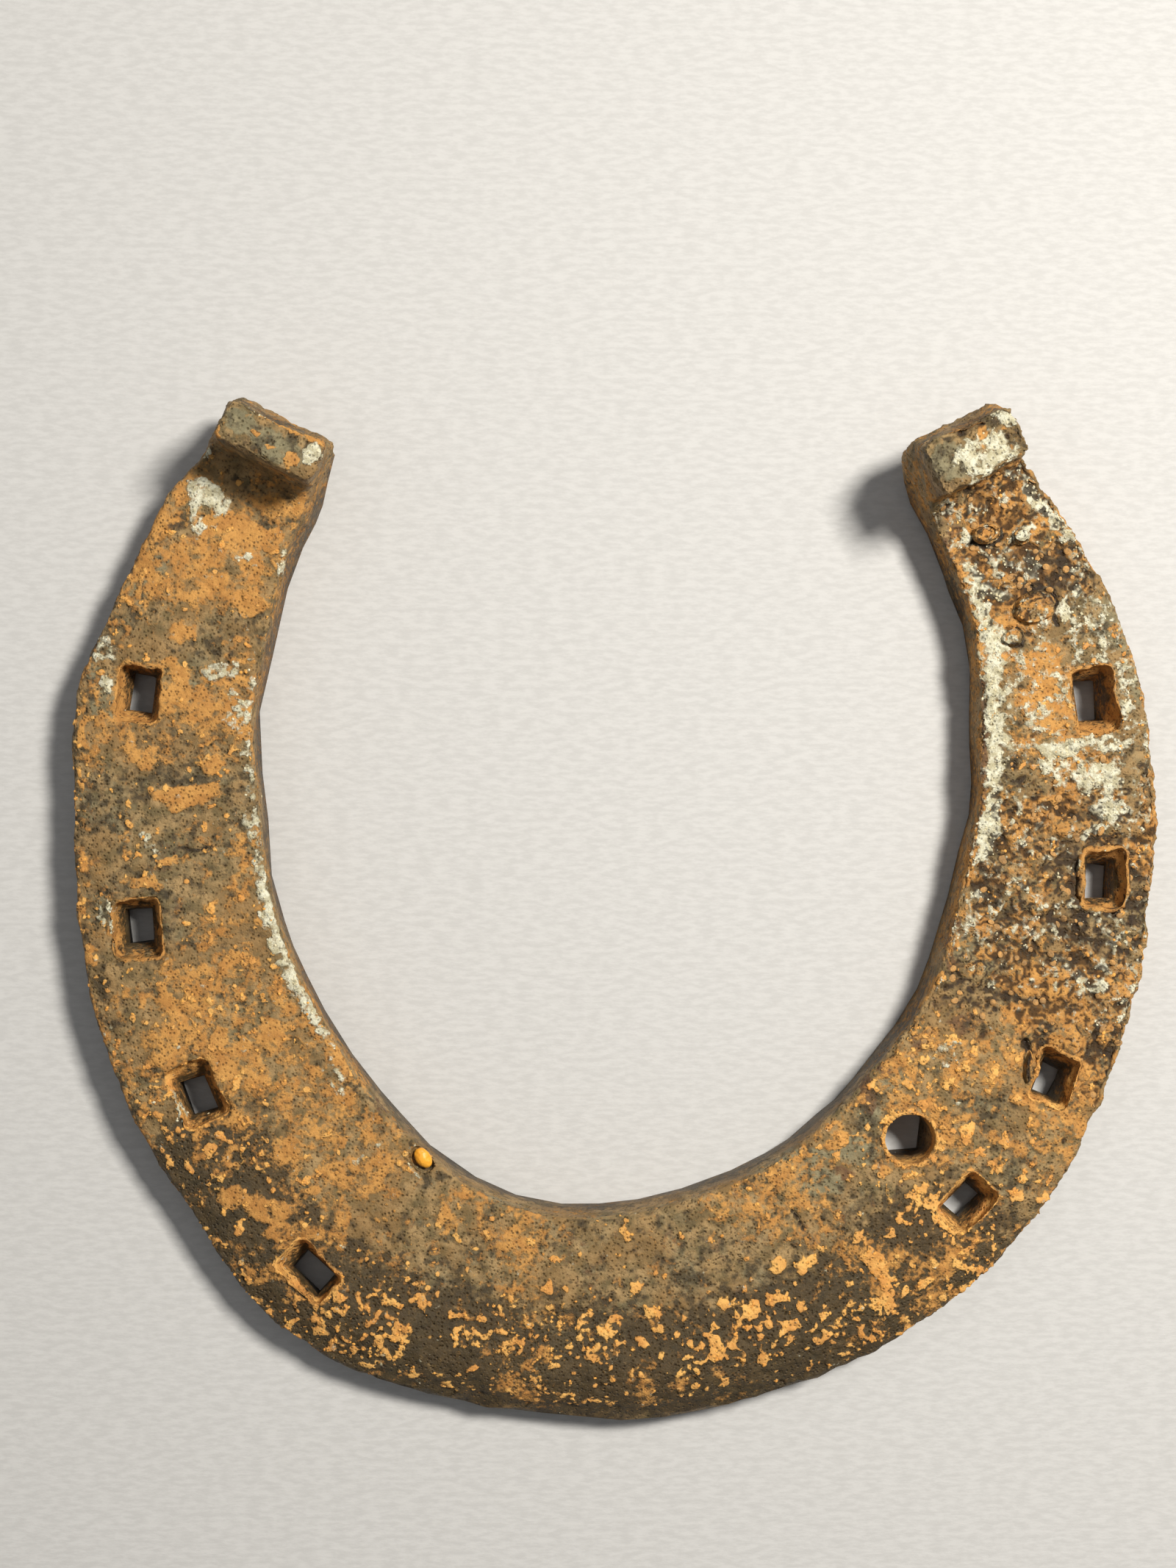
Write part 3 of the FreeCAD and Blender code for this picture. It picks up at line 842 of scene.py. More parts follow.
class Weathering:
    """What age has done to the shoe: how far it is eaten away and which finish lies where, with
    shade painted on its walls and in its hollows.

    Each finish is a field: it lies where its field is over a half.
    """

    def __init__(self, chart: ShoeChart) -> None:
        """Draws the random fields that the finishes and the relief share."""
        self.chart = chart
        places = chart.places
        level = np.zeros(len(places))
        wander = [cloud(places, 2.0, seed, 4, 0.65) - 0.5 for seed in (11, 12)]
        self.warped = places + np.stack([*wander, level], axis=1) * 1.7
        self.coarse = cloud(places, 4.2, 21)
        self.medium = cloud(places, 1.7, 22)
        self.fine = cloud(places, 0.85, 23, 3)
        self.crumbly = cloud(places, 1.6, 24, 4, 0.85)
        self.speckle = cloud(places, 0.8, 25, 2, 0.7)
        self.pits = spots(places, 2.1, 0.7, 0.5, 31)
        self.small_pits = spots(places, 1.05, 0.4, 0.45, 32)
        self.terraces, self.broken_edges = self.flaking()
        self.cracks = np.zeros(len(places))
        for crack in CRACKS:
            self.cracks = np.maximum(self.cracks, crack.share(places) * chart.ground)

    def marked(self, patches: tuple[Patch, ...], where: Array) -> Array:
        """Reads the strongest of some patches.

        Args:
            patches: The patches, which the warped places make ragged.
            where: How far each place can hold the finish at all, from 0 to 1.

        Returns:
            One share for each place.
        """
        best = np.zeros(len(self.warped))
        for patch in patches:
            best = np.maximum(best, patch.share(self.warped))
        return best * where

    def lime(self) -> Array:
        """White crust: a band along each inner edge, and patches on the heels and quarters.

        Returns:
            The field at each place.
        """
        chart = self.chart
        gap = chart.inner_gap + (self.medium - 0.5) * 1.8
        left = between(-110.0, -46.0, chart.angle, 4.0) * between(0.1, 2.2, gap, 0.7)
        left *= 0.62 + 0.33 * between(-78.0, -44.0, chart.angle, 6.0)
        right = between(76.0, 121.0, chart.angle, 5.0) * between(1.0, 3.7, gap, 0.9)
        marks = self.marked(LIME_PATCHES, chart.upper)
        tips = self.marked(TIP_LIME, chart.tip)
        faint = 0.42 * between(62.0, 134.0, chart.angle, 6.0) * chart.ground
        weight = np.maximum.reduce([left * chart.ground, right * chart.ground, marks, tips, faint])
        grain = 0.5 * self.crumbly + 0.5 * self.speckle
        return weight * 0.76 + (grain - 0.5) * 1.1

    def orange(self) -> Array:
        """Bright powdery rust, strongest inside the nail holes and round their rims.

        Returns:
            The field at each place.
        """
        chart = self.chart
        base = chart.along(RUST_ROUND_THE_BAR) * (0.9 - 0.5 * chart.tip)
        base += 0.5 * (cloud(chart.places, 9.0, 27, 3) - 0.5) * chart.ground
        marks = self.marked(ORANGE_PATCHES, chart.upper) * 0.82
        left_tip = self.marked(LEFT_TIP_ORANGE, chart.tip)
        right_tip = self.marked(RIGHT_TIP_ORANGE, chart.tip)
        rims = 0.66 * (1.0 - ramp(0.1, 1.3, chart.hole_gap)) * chart.upper
        edge = 0.5 * (1.0 - ramp(0.4, 1.6, chart.outer_gap)) * chart.ground
        walls = 0.75 * chart.in_hole * ramp(3.0, 8.5, chart.height)
        weight = np.maximum.reduce([base, marks, left_tip, right_tip, rims, edge, walls])
        grain = 0.45 * self.medium + 0.55 * self.crumbly
        return weight + (grain - 0.5) * 0.9 - 0.6 * self.cracks

    def ochre(self) -> Array:
        """Yellow-orange crusts and grains, thickest on the toe, with a painted highlight along the
        outer rim.

        Returns:
            The field at each place.
        """
        chart = self.chart
        marks = self.marked(OCHRE_PATCHES, chart.upper)
        toe = between(-34.0, 34.0, chart.angle, 8.0) * between(2.0, 15.0, chart.outer_gap, 2.0)
        left = between(-70.0, -34.0, chart.angle, 6.0) * 0.94
        right = between(34.0, 58.0, chart.angle, 6.0) * 0.75
        # Partly painted highlight: more ochre grains in a thin line along the outer rim of the left
        # branch and toe, where the edge catches the light, over real ochre crust.
        band = between(0.4, 2.4, chart.outer_gap, 0.6) * between(-100.0, 48.0, chart.angle, 8.0)
        thick = np.maximum.reduce([toe, 0.6 * left, 0.8 * right, 0.7 * band, 0.16 * chart.ground])
        crowd = thick * (0.12 + ramp(0.30, 0.75, cloud(self.chart.places, 7.0, 26, 3)))
        scatter = spots(self.warped, 2.1, 1.25, crowd * 0.3, 33)
        scatter = np.maximum(scatter, spots(self.warped, 1.3, 0.8, crowd * 0.7, 34))
        scatter = np.maximum(scatter, spots(self.chart.places, 0.8, 0.52, crowd * 0.9 + 0.05, 35))
        scatter += (self.speckle - 0.5) * 0.5
        marks = marks * 0.84 + (0.5 * self.crumbly + 0.5 * self.speckle - 0.5) * 0.9
        rims = (1.0 - ramp(0.1, 0.9, chart.hole_gap)) * between(-60, 60, chart.angle, 5.0)
        rims = rims * 0.62 * chart.upper + (self.crumbly - 0.5) * 0.7
        return np.maximum.reduce([marks, scatter * chart.ground, rims])

    def dark(self) -> Array:
        """Black-brown patina in patches and on the toe's outer band, which is partly painted shade;
        painted shade on the side walls, low in the holes and in cracks.

        Returns:
            The field at each place.
        """
        chart = self.chart
        marks = self.marked(DARK_PATCHES, chart.upper)
        gap = chart.outer_gap + (self.coarse - 0.5) * 7.0
        # Partly painted shade: the toe's outer band is darker where its rounded edge slopes away
        # from the light, over real dark patina.
        toe = between(-52.0, 44.0, chart.angle, 10.0) * (1.0 - ramp(8.0, 25.0, gap))
        edge = between(-125.0, 52.0, chart.angle, 6.0) * (1.0 - ramp(1.0, 4.5, gap)) * 0.62
        # Painted shade: the lower side walls, the calks' sides and, less strongly, the hoof face are
        # darkened.
        low = 0.62 * (1.0 - chart.upper) * (1.0 - chart.tip) * (1.0 - 0.35 * chart.hoof)
        everywhere = 0.36 * chart.ground + 0.36 * chart.tip
        # Painted shade: the holes' walls darken towards the hoof face.
        holes = chart.in_hole * (1.0 - ramp(5.5, 9.0, chart.height))
        weight = np.maximum.reduce([marks * 0.85, toe * chart.upper, edge, low, everywhere, holes])
        grain = 0.35 * self.coarse + 0.25 * self.medium + 0.4 * self.fine
        # Painted shade in the cracks.
        return np.maximum(weight + (grain - 0.5) * 1.15, self.cracks)

    def brown(self) -> Array:
        """Bare red-brown scale: a strip along the right inner edge, and stains.

        Returns:
            The field at each place.
        """
        chart = self.chart
        gap = chart.inner_gap + (self.medium - 0.5) * 1.2
        strip = between(74.0, 126.0, chart.angle, 3.0) * between(-0.8, 1.2, gap, 0.5)
        marks = self.marked(BROWN_PATCHES, chart.upper)
        heel = 0.5 * between(108.0, 134.0, chart.angle, 4.0) * chart.ground
        weight = np.maximum.reduce([strip * chart.ground, marks, heel, 0.33 * chart.ground])
        return weight * 0.9 + (0.5 * self.medium + 0.5 * self.crumbly - 0.5) * 0.9

    def grey(self) -> Array:
        """Smooth grey-green patina where the iron is least corroded.

        Returns:
            The field at each place.
        """
        chart = self.chart
        marks = self.marked(GREY_PATCHES, chart.upper)
        tips = self.marked(TIP_GREY, chart.tip)
        weight = np.maximum.reduce([marks, tips, 0.36 * chart.upper])
        return weight * 0.9 + (0.5 * self.coarse + 0.5 * self.medium - 0.5) * 0.75

    def flaking(self) -> tuple[Array, Array]:
        """Works out where scale has come off in terraces.

        Returns:
            How low each place lies on the terraces, from 0 to 1, and how far it is on a broken
            edge between two of them.
        """
        chart = self.chart
        where = between(58.0, 92.0, chart.angle, 5.0) * ramp(0.5, 3.0, chart.inner_gap)
        heel = between(110.0, 134.0, chart.angle, 4.0) * ramp(1.0, 3.0, chart.inner_gap)
        quarter = 0.5 * between(48.0, 60.0, chart.angle, 4.0) * (1.0 - ramp(8, 14, chart.inner_gap))
        where = np.maximum.reduce([where, heel, quarter]) * chart.ground
        squeezed = self.warped * np.array((0.55, 1.2, 1.0))
        treads = 4.5
        edge_at, edge_width = 0.52, 0.16
        steps = cloud(squeezed, 2.3, 41, 3, 0.5) * treads
        tread = np.floor(steps)
        terraces = (tread + ramp(0.35, 0.6, steps - tread)) / treads
        edges = np.exp(-(((steps - tread - edge_at) / edge_width) ** 2))
        return where * np.clip(terraces, 0.0, 1.0), where * edges

    def depths(self, lime: Array, ochre: Array, orange: Array, grey: Array) -> Array:
        """How far the surface is eaten away, in millimetres, always 0 or more.

        Args:
            lime, ochre, orange, grey: Where those finishes lie, from 0 to 1.

        Returns:
            One depth for each place.
        """
        chart = self.chart
        rough = chart.along(RELIEF_ROUND_THE_BAR) * (1.0 - 0.45 * grey)
        rough = np.where(chart.hoof > 0.5, 0.6, rough)
        depth = 0.06 + 0.2 * cloud(chart.places, 9.0, 51, 2)
        depth += rough * (0.34 * (self.coarse - 0.2) + 0.38 * (self.medium - 0.3))
        depth += rough * (0.26 * (self.fine - 0.3) + 0.5 * self.pits + 0.34 * self.small_pits)
        depth += 1.0 * self.terraces
        depth += 0.6 * self.cracks
        depth -= 0.3 * lime * self.crumbly
        depth -= 0.14 * orange * (0.4 + self.fine)
        depth -= 0.26 * ochre * (0.3 + self.fine)
        rim = np.exp(-((chart.hole_gap / 0.7) ** 2)) * chart.ground
        depth += rim * np.clip(1.5 * self.coarse + 0.5 * self.fine - 0.6, 0.0, None)
        edge = np.minimum(chart.outer_gap, chart.inner_gap + 0.6)
        depth += 0.32 * (1.0 - ramp(0.0, 1.2, edge)) * self.coarse * (1.0 - chart.hoof)
        for dent in DENTS:
            depth += dent.depths(chart.places)
        lining = between(1.0, 6.5, chart.height, 1.2) * (0.1 + 1.1 * self.coarse) - 0.15
        eaten = 1.1 * (self.coarse - 0.35) + 0.5 * (self.medium - 0.4) + 0.4 * self.pits
        lined = (eaten - lining) * chart.in_hole
        return np.where(chart.in_hole > 0.0, lined, np.clip(depth, 0.0, None))

    def dress(self, mesh: bpy.types.Mesh) -> Array:
        """Stores every finish on a mesh.

        Args:
            mesh: The mesh that the chart was made from.

        Returns:
            The depth of the relief at each of its places, in millimetres.
        """
        fields = {
            Finish.LIME: self.lime(), Finish.ORANGE: self.orange(), Finish.OCHRE: self.ochre(),
            Finish.DARK: self.dark(), Finish.BROWN: self.brown(), Finish.GREY: self.grey(),
        }
        lime, ochre = lies(fields[Finish.LIME]), lies(fields[Finish.OCHRE])
        depths = self.depths(lime, ochre, lies(fields[Finish.ORANGE]), lies(fields[Finish.GREY]))
        # Painted shade: darker where the relief lies deeper, in pits, cracks and on the broken edges
        # of terraces.
        hollow = (depths - 0.45) * 0.75 + 0.6 * self.pits + 0.4 * self.small_pits
        fields[Finish.HOLLOW] = hollow + 0.9 * self.broken_edges + 0.4 * self.cracks
        fields[Finish.FLAKY] = self.terraces * (1.0 - lime)
        fields[Finish.CRUMBS] = lime
        fields[Finish.GRAINS] = ochre * self.chart.ground
        for finish, field in fields.items():
            store(mesh, finish.value, field)
        return depths


# ---------------------------------------------------------------------------
# Mesh work
# ---------------------------------------------------------------------------


# Corners nearer than this, in millimetres, are one corner.
SAME_PLACE = 0.0005


def mesh_object(name: str, mesh: bpy.types.Mesh) -> bpy.types.Object:
    """A new object at the origin that holds the mesh."""
    made = bpy.data.objects.new(name, mesh)
    bpy.context.scene.collection.objects.link(made)
    return made


def baked(source: bpy.types.Object, name: str) -> bpy.types.Mesh:
    """Takes the mesh that an object's modifiers make, and removes the object.

    Args:
        source: The object with its modifiers.
        name: Name of the new mesh.

    Returns:
        A plain mesh.
    """
    graph = bpy.context.evaluated_depsgraph_get()
    mesh = bpy.data.meshes.new_from_object(source.evaluated_get(graph))
    mesh.name = name
    bpy.data.objects.remove(source)
    return mesh


def finely_meshed(node: str, pitch: float) -> bpy.types.Mesh:
    """A copy of a CAD node with an even mesh.

    Args:
        node: Name of the CAD node.
        pitch: Length of the new edges in millimetres.

    Returns:
        The new mesh, in metres in the row frame.
    """
    mesh = bpy.data.objects[node].data.copy()
    mesh.materials.clear()
    sheet = bmesh.new()
    sheet.from_mesh(mesh)
    bmesh.ops.remove_doubles(sheet, verts=sheet.verts, dist=SAME_PLACE * MM)
    sheet.to_mesh(mesh)
    sheet.free()
    work = mesh_object("work", mesh)
    remesh = work.modifiers.new("even", "REMESH")
    remesh.mode = "VOXEL"
    remesh.voxel_size = pitch * MM
    remesh.use_smooth_shade = True
    return baked(work, node + "_even")


def vertex_rows(mesh: bpy.types.Mesh, kind: str) -> Array:
    """A mesh's vertex places ("co") or normals ("normal"), one row each."""
    rows = np.zeros(len(mesh.vertices) * 3)
    mesh.vertices.foreach_get(kind, rows)
    return rows.reshape(-1, 3)


def store(mesh: bpy.types.Mesh, name: str, values: Array) -> None:
    """Writes one value for each vertex as an attribute that materials can read."""
    attribute = mesh.attributes.new(name, "FLOAT", "POINT")
    attribute.data.foreach_set("value", np.clip(values, 0.0, 1.0).astype(np.float32))


def move_in(mesh: bpy.types.Mesh, depths: Array, normals: Array) -> None:
    """Moves each vertex in along its normal by a depth in millimetres."""
    places = vertex_rows(mesh, "co") - normals * depths[:, None] * MM
    mesh.vertices.foreach_set("co", places.ravel())
    mesh.update()


def thinned(mesh: bpy.types.Mesh, faces: int, spare: Array) -> bpy.types.Mesh:
    """A copy of a mesh with fewer triangles.

    Args:
        mesh: The mesh to thin.
        faces: Number of triangles to keep.
        spare: 1 for each vertex that may go first, 0 for one that is worth keeping.

    Returns:
        The thinned mesh.
    """
    work = mesh_object("work", mesh)
    group = work.vertex_groups.new(name="spare")
    for weight in (0.0, 0.5, 1.0):
        chosen = np.flatnonzero(np.abs(spare - weight) < 0.25)
        group.add([int(index) for index in chosen], weight, "REPLACE")
    thin = work.modifiers.new("thin", "DECIMATE")
    thin.use_collapse_triangulate = True
    thin.ratio = faces / (2.0 * len(mesh.polygons))
    thin.vertex_group = group.name
    thin.vertex_group_factor = 0.25
    return baked(work, mesh.name)


def keep_inside(mesh: bpy.types.Mesh, box: tuple[Vector, Vector]) -> None:
    """Holds every vertex within a box."""
    rows = np.clip(vertex_rows(mesh, "co"), np.array(box[0]), np.array(box[1]))
    mesh.vertices.foreach_set("co", rows.ravel())
    mesh.update()


def shade_smooth(mesh: bpy.types.Mesh) -> None:
    """Sets smooth shading on every face."""
    mesh.polygons.foreach_set("use_smooth", [True] * len(mesh.polygons))
    mesh.update()


# ---------------------------------------------------------------------------
# Node trees
# ---------------------------------------------------------------------------


def paint(red: int, green: int, blue: int) -> Colour:
    """Mixes a colour.

    Args:
        red, green, blue: Screen values from 0 to 255.

    Returns:
        The linear colour that nodes take.
    """
    linear = []
    for value in (red, green, blue):
        share = value / 255.0
        linear.append(share / 12.92 if share <= 0.04045 else ((share + 0.055) / 1.055) ** 2.4)
    return (*linear, 1.0)


class NodeSheet:
    """Adds and joins the nodes of one tree."""

    def __init__(self, tree: bpy.types.NodeTree) -> None:
        """Starts with an empty tree."""
        self.tree = tree
        tree.nodes.clear()

    def put(self, target: Socket, value: object) -> None:
        """Gives a socket a value, or joins it if the value is another node's socket."""
        if isinstance(value, bpy.types.NodeSocket):
            self.tree.links.new(value, target)
        else:
            target.default_value = value

    def add(
        self, kind: str, inputs: dict[str | int, object] | None = None, **settings: object
    ) -> bpy.types.Node:
        """Adds a node.

        Args:
            kind: Blender's name for the node type.
            inputs: Values or sockets for its inputs, by name or place.
            settings: The node's own settings.

        Returns:
            The new node.
        """
        node = self.tree.nodes.new(kind)
        for name, value in settings.items():
            setattr(node, name, value)
        for name, value in (inputs or {}).items():
            self.put(node.inputs[name], value)
        return node

    def maths(self, operation: str, first: object, second: object = 0.0) -> Socket:
        """The result of a sum on one or two numbers."""
        return self.add("ShaderNodeMath", {0: first, 1: second}, operation=operation).outputs[0]

    def mixed(self, share: object, first: object, second: object) -> Socket:
        """A colour between two colours."""
        node = self.add("ShaderNodeMix", {0: share, 6: first, 7: second}, data_type="RGBA")
        return node.outputs[2]

    def blended(self, share: object, first: object, second: object) -> Socket:
        """A number between two numbers."""
        node = self.add("ShaderNodeMix", {0: share, 2: first, 3: second}, data_type="FLOAT")
        return node.outputs[0]

    def noise(self, where: Socket, scale: object, detail: float = 4.0, rough: float = 0.6) -> Socket:
        """Layered noise from 0 to 1."""
        inputs = {"Vector": where, "Scale": scale, "Detail": detail, "Roughness": rough}
        return self.add("ShaderNodeTexNoise", inputs).outputs[0]

    def eased(self, value: object, low: object, high: object) -> Socket:
        """An eased rise from 0 at low to 1 at high."""
        inputs = {"Value": value, "From Min": low, "From Max": high}
        return self.add("ShaderNodeMapRange", inputs, interpolation_type="SMOOTHSTEP").outputs[0]

    def group(self, tree: bpy.types.NodeTree, inputs: dict[str, object]) -> bpy.types.Node:
        """Places a node group.

        Args:
            tree: The group's tree.
            inputs: Values or sockets for its inputs, by name.

        Returns:
            The new node.
        """
        node = self.tree.nodes.new("ShaderNodeGroup")
        node.node_tree = tree
        for name, value in inputs.items():
            self.put(node.inputs[name], value)
        return node

    def attribute(self, name: str) -> Socket:
        """One value stored on the mesh."""
        return self.add("ShaderNodeAttribute", attribute_name=name).outputs["Fac"]


def group_tree(
    name: str, inputs: dict[str, tuple[str, object]], outputs: dict[str, str]
) -> tuple[NodeSheet, bpy.types.Node, bpy.types.Node]:
    """Starts a shader node group.

    Args:
        name: Name of the group.
        inputs: Socket type and usual value of each input.
        outputs: Socket type of each output.

    Returns:
        The sheet to build on, the group's input node and its output node.
    """
    tree = bpy.data.node_groups.new(name, "ShaderNodeTree")
    for label, (kind, value) in inputs.items():
        socket = tree.interface.new_socket(name=label, in_out="INPUT", socket_type=kind)
        if value is not None:
            socket.default_value = value
    for label, kind in outputs.items():
        tree.interface.new_socket(name=label, in_out="OUTPUT", socket_type=kind)
    sheet = NodeSheet(tree)
    return sheet, sheet.add("NodeGroupInput"), sheet.add("NodeGroupOutput")


class SharedGroups:
    """The shader node groups that several finishes use."""

    def __init__(self) -> None:
        """Builds each group once."""
        self.frayed = self.frayed_edge()
        self.mottle = self.mottled_colour()
        self.grain = self.rust_grain()

    def frayed_edge(self) -> bpy.types.NodeTree:
        """A mask whose outline is frayed finer than the mesh can hold it.

        Returns:
            The group's tree.
        """
        number = "NodeSocketFloat"
        inputs = {
            "Vector": ("NodeSocketVector", None), "Mask": (number, 0.0),
            "Scale": (number, 2.0), "Fray": (number, 0.5), "Softness": (number, 0.15),
        }
        sheet, given, result = group_tree("frayed_edge", inputs, {"Mask": number})
        noise = sheet.noise(given.outputs["Vector"], given.outputs["Scale"], 5.0, 0.65)
        push = sheet.maths("MULTIPLY", sheet.maths("SUBTRACT", noise, 0.5), given.outputs["Fray"])
        value = sheet.maths("ADD", given.outputs["Mask"], push)
        low = sheet.maths("SUBTRACT", 0.5, given.outputs["Softness"])
        high = sheet.maths("ADD", 0.5, given.outputs["Softness"])
        sheet.put(result.inputs["Mask"], sheet.eased(value, low, high))
        return sheet.tree

    def mottled_colour(self) -> bpy.types.NodeTree:
        """Three tones mottled into each other, with fine specks of the third.

        Returns:
            The group's tree.
        """
        number, colour = "NodeSocketFloat", "NodeSocketColor"
        inputs = {
            "Vector": ("NodeSocketVector", None), "Scale": (number, 0.5), "Specks": (number, 0.5),
            "Tone": (colour, None), "Second Tone": (colour, None), "Speck Tone": (colour, None),
        }
        sheet, given, result = group_tree("mottled_colour", inputs, {"Color": colour})
        where, scale = given.outputs["Vector"], given.outputs["Scale"]
        broad = sheet.eased(sheet.noise(where, scale, 5.0, 0.6), 0.36, 0.64)
        toned = sheet.mixed(broad, given.outputs["Tone"], given.outputs["Second Tone"])
        fine = sheet.noise(where, sheet.maths("MULTIPLY", scale, 5.3), 3.0, 0.7)
        specks = sheet.maths("MULTIPLY", sheet.eased(fine, 0.52, 0.72), given.outputs["Specks"])
        sheet.put(result.inputs["Color"], sheet.mixed(specks, toned, given.outputs["Speck Tone"]))
        return sheet.tree

    def rust_grain(self) -> bpy.types.NodeTree:
        """Height of the finest crust: gritty noise with small pits.

        Returns:
            The group's tree.
        """
        number = "NodeSocketFloat"
        inputs = {
            "Vector": ("NodeSocketVector", None), "Scale": (number, 2.0), "Pitting": (number, 0.5),
        }
        sheet, given, result = group_tree("rust_grain", inputs, {"Height": number})
        where, scale = given.outputs["Vector"], given.outputs["Scale"]
        grit = sheet.noise(where, scale, 6.0, 0.72)
        cells = sheet.add("ShaderNodeTexVoronoi", {"Vector": where, "Scale": scale}, feature="F1")
        pit = sheet.eased(cells.outputs["Distance"], 0.0, 0.45)
        sunk = sheet.maths("MULTIPLY", sheet.maths("SUBTRACT", pit, 1.0), given.outputs["Pitting"])
        sheet.put(result.inputs["Height"], sheet.maths("ADD", grit, sunk))
        return sheet.tree


# ---------------------------------------------------------------------------
# Finishes
# ---------------------------------------------------------------------------


# How strongly every surface's bump shows, and how much it reflects, where 0.5 is usual.
BUMP_STRENGTH = 0.8
REFLECTION = 0.35


def new_material(name: str, view_colour: Colour) -> tuple[bpy.types.Material, NodeSheet]:
    """Starts a material.

    Args:
        name: Its name.
        view_colour: Its colour in a plain view.

    Returns:
        The empty node material, and the sheet to build it on.
    """
    material = bpy.data.materials.new(name)
    material.use_nodes = True
    material.diffuse_color = view_colour
    return material, NodeSheet(material.node_tree)


def millimetres(sheet: NodeSheet) -> Socket:
    """The piece's own Object coordinates, in millimetres."""
    coordinates = sheet.add("ShaderNodeTexCoord").outputs["Object"]
    inputs = {"Vector": coordinates, "Scale": (1.0 / MM,) * 3}
    return sheet.add("ShaderNodeMapping", inputs).outputs[0]


def finish_surface(
    sheet: NodeSheet, colour: Socket, rough: object, height: Socket, relief: float
) -> None:
    """Ends a material with a rough shader and fine relief.

    Args:
        sheet: The material's sheet.
        colour: Base colour.
        rough: Roughness.
        height: Height of the fine relief, about 0 to 1.
        relief: How high 1 stands, in millimetres.
    """
    bump_inputs = {"Strength": BUMP_STRENGTH, "Distance": relief * MM, "Height": height}
    bump = sheet.add("ShaderNodeBump", bump_inputs).outputs[0]
    inputs = {
        "Base Color": colour, "Roughness": rough, "Normal": bump, "Specular IOR Level": REFLECTION,
    }
    shader = sheet.add("ShaderNodeBsdfPrincipled", inputs)
    sheet.add("ShaderNodeOutputMaterial", {"Surface": shader.outputs[0]})


@dataclass(frozen=True)
class Tones:
    """Three colours of one finish: two that are mottled together, and its specks' colour."""

    main: Colour
    second: Colour
    speck: Colour

    def mottled(
        self, sheet: NodeSheet, groups: SharedGroups, where: Socket, scale: float, specks: float
    ) -> Socket:
        """Mottles the three colours over a surface.

        Args:
            sheet: The material's sheet.
            groups: The shared node groups.
            where: Places on the surface in millimetres.
            scale: How many mottles there are to a millimetre.
            specks: How strongly the specks show, from 0 to 1.

        Returns:
            The colour at each place.
        """
        inputs = {
            "Vector": where, "Scale": scale, "Specks": specks, "Tone": self.main,
            "Second Tone": self.second, "Speck Tone": self.speck,
        }
        return sheet.group(groups.mottle, inputs).outputs[0]


@dataclass(frozen=True)
class Layer:
    """One finish that lies over those before it.

    Args:
        finish: The finish, whose attribute says where it lies.
        tones: Its colours.
        scale: How many mottles there are to a millimetre.
        fray: How far its outline is pushed in and out, against its own field.
        grain: How many frayed bits its outline has to a millimetre.
        rough: Its roughness.
        height: How far it stands above the iron, against the iron's own fine relief.
        soft: How softly its outline fades.
        strength: How much of what is under it it hides, from 0 to 1.
    """

    finish: Finish
    tones: Tones
    scale: float
    fray: float
    grain: float
    rough: float
    height: float
    soft: float
    strength: float = 1.0

    def mask(self, sheet: NodeSheet, groups: SharedGroups, where: Socket) -> Socket:
        """Where the layer shows.

        Args:
            sheet: The material's sheet.
            groups: The shared node groups.
            where: Places on the surface in millimetres.

        Returns:
            A share from 0 to the layer's strength at each place.
        """
        frayed = sheet.group(groups.frayed, {
            "Vector": where, "Mask": sheet.attribute(self.finish.value),
            "Scale": self.grain, "Fray": self.fray, "Softness": self.soft,
        }).outputs[0]
        return sheet.maths("MULTIPLY", frayed, self.strength)


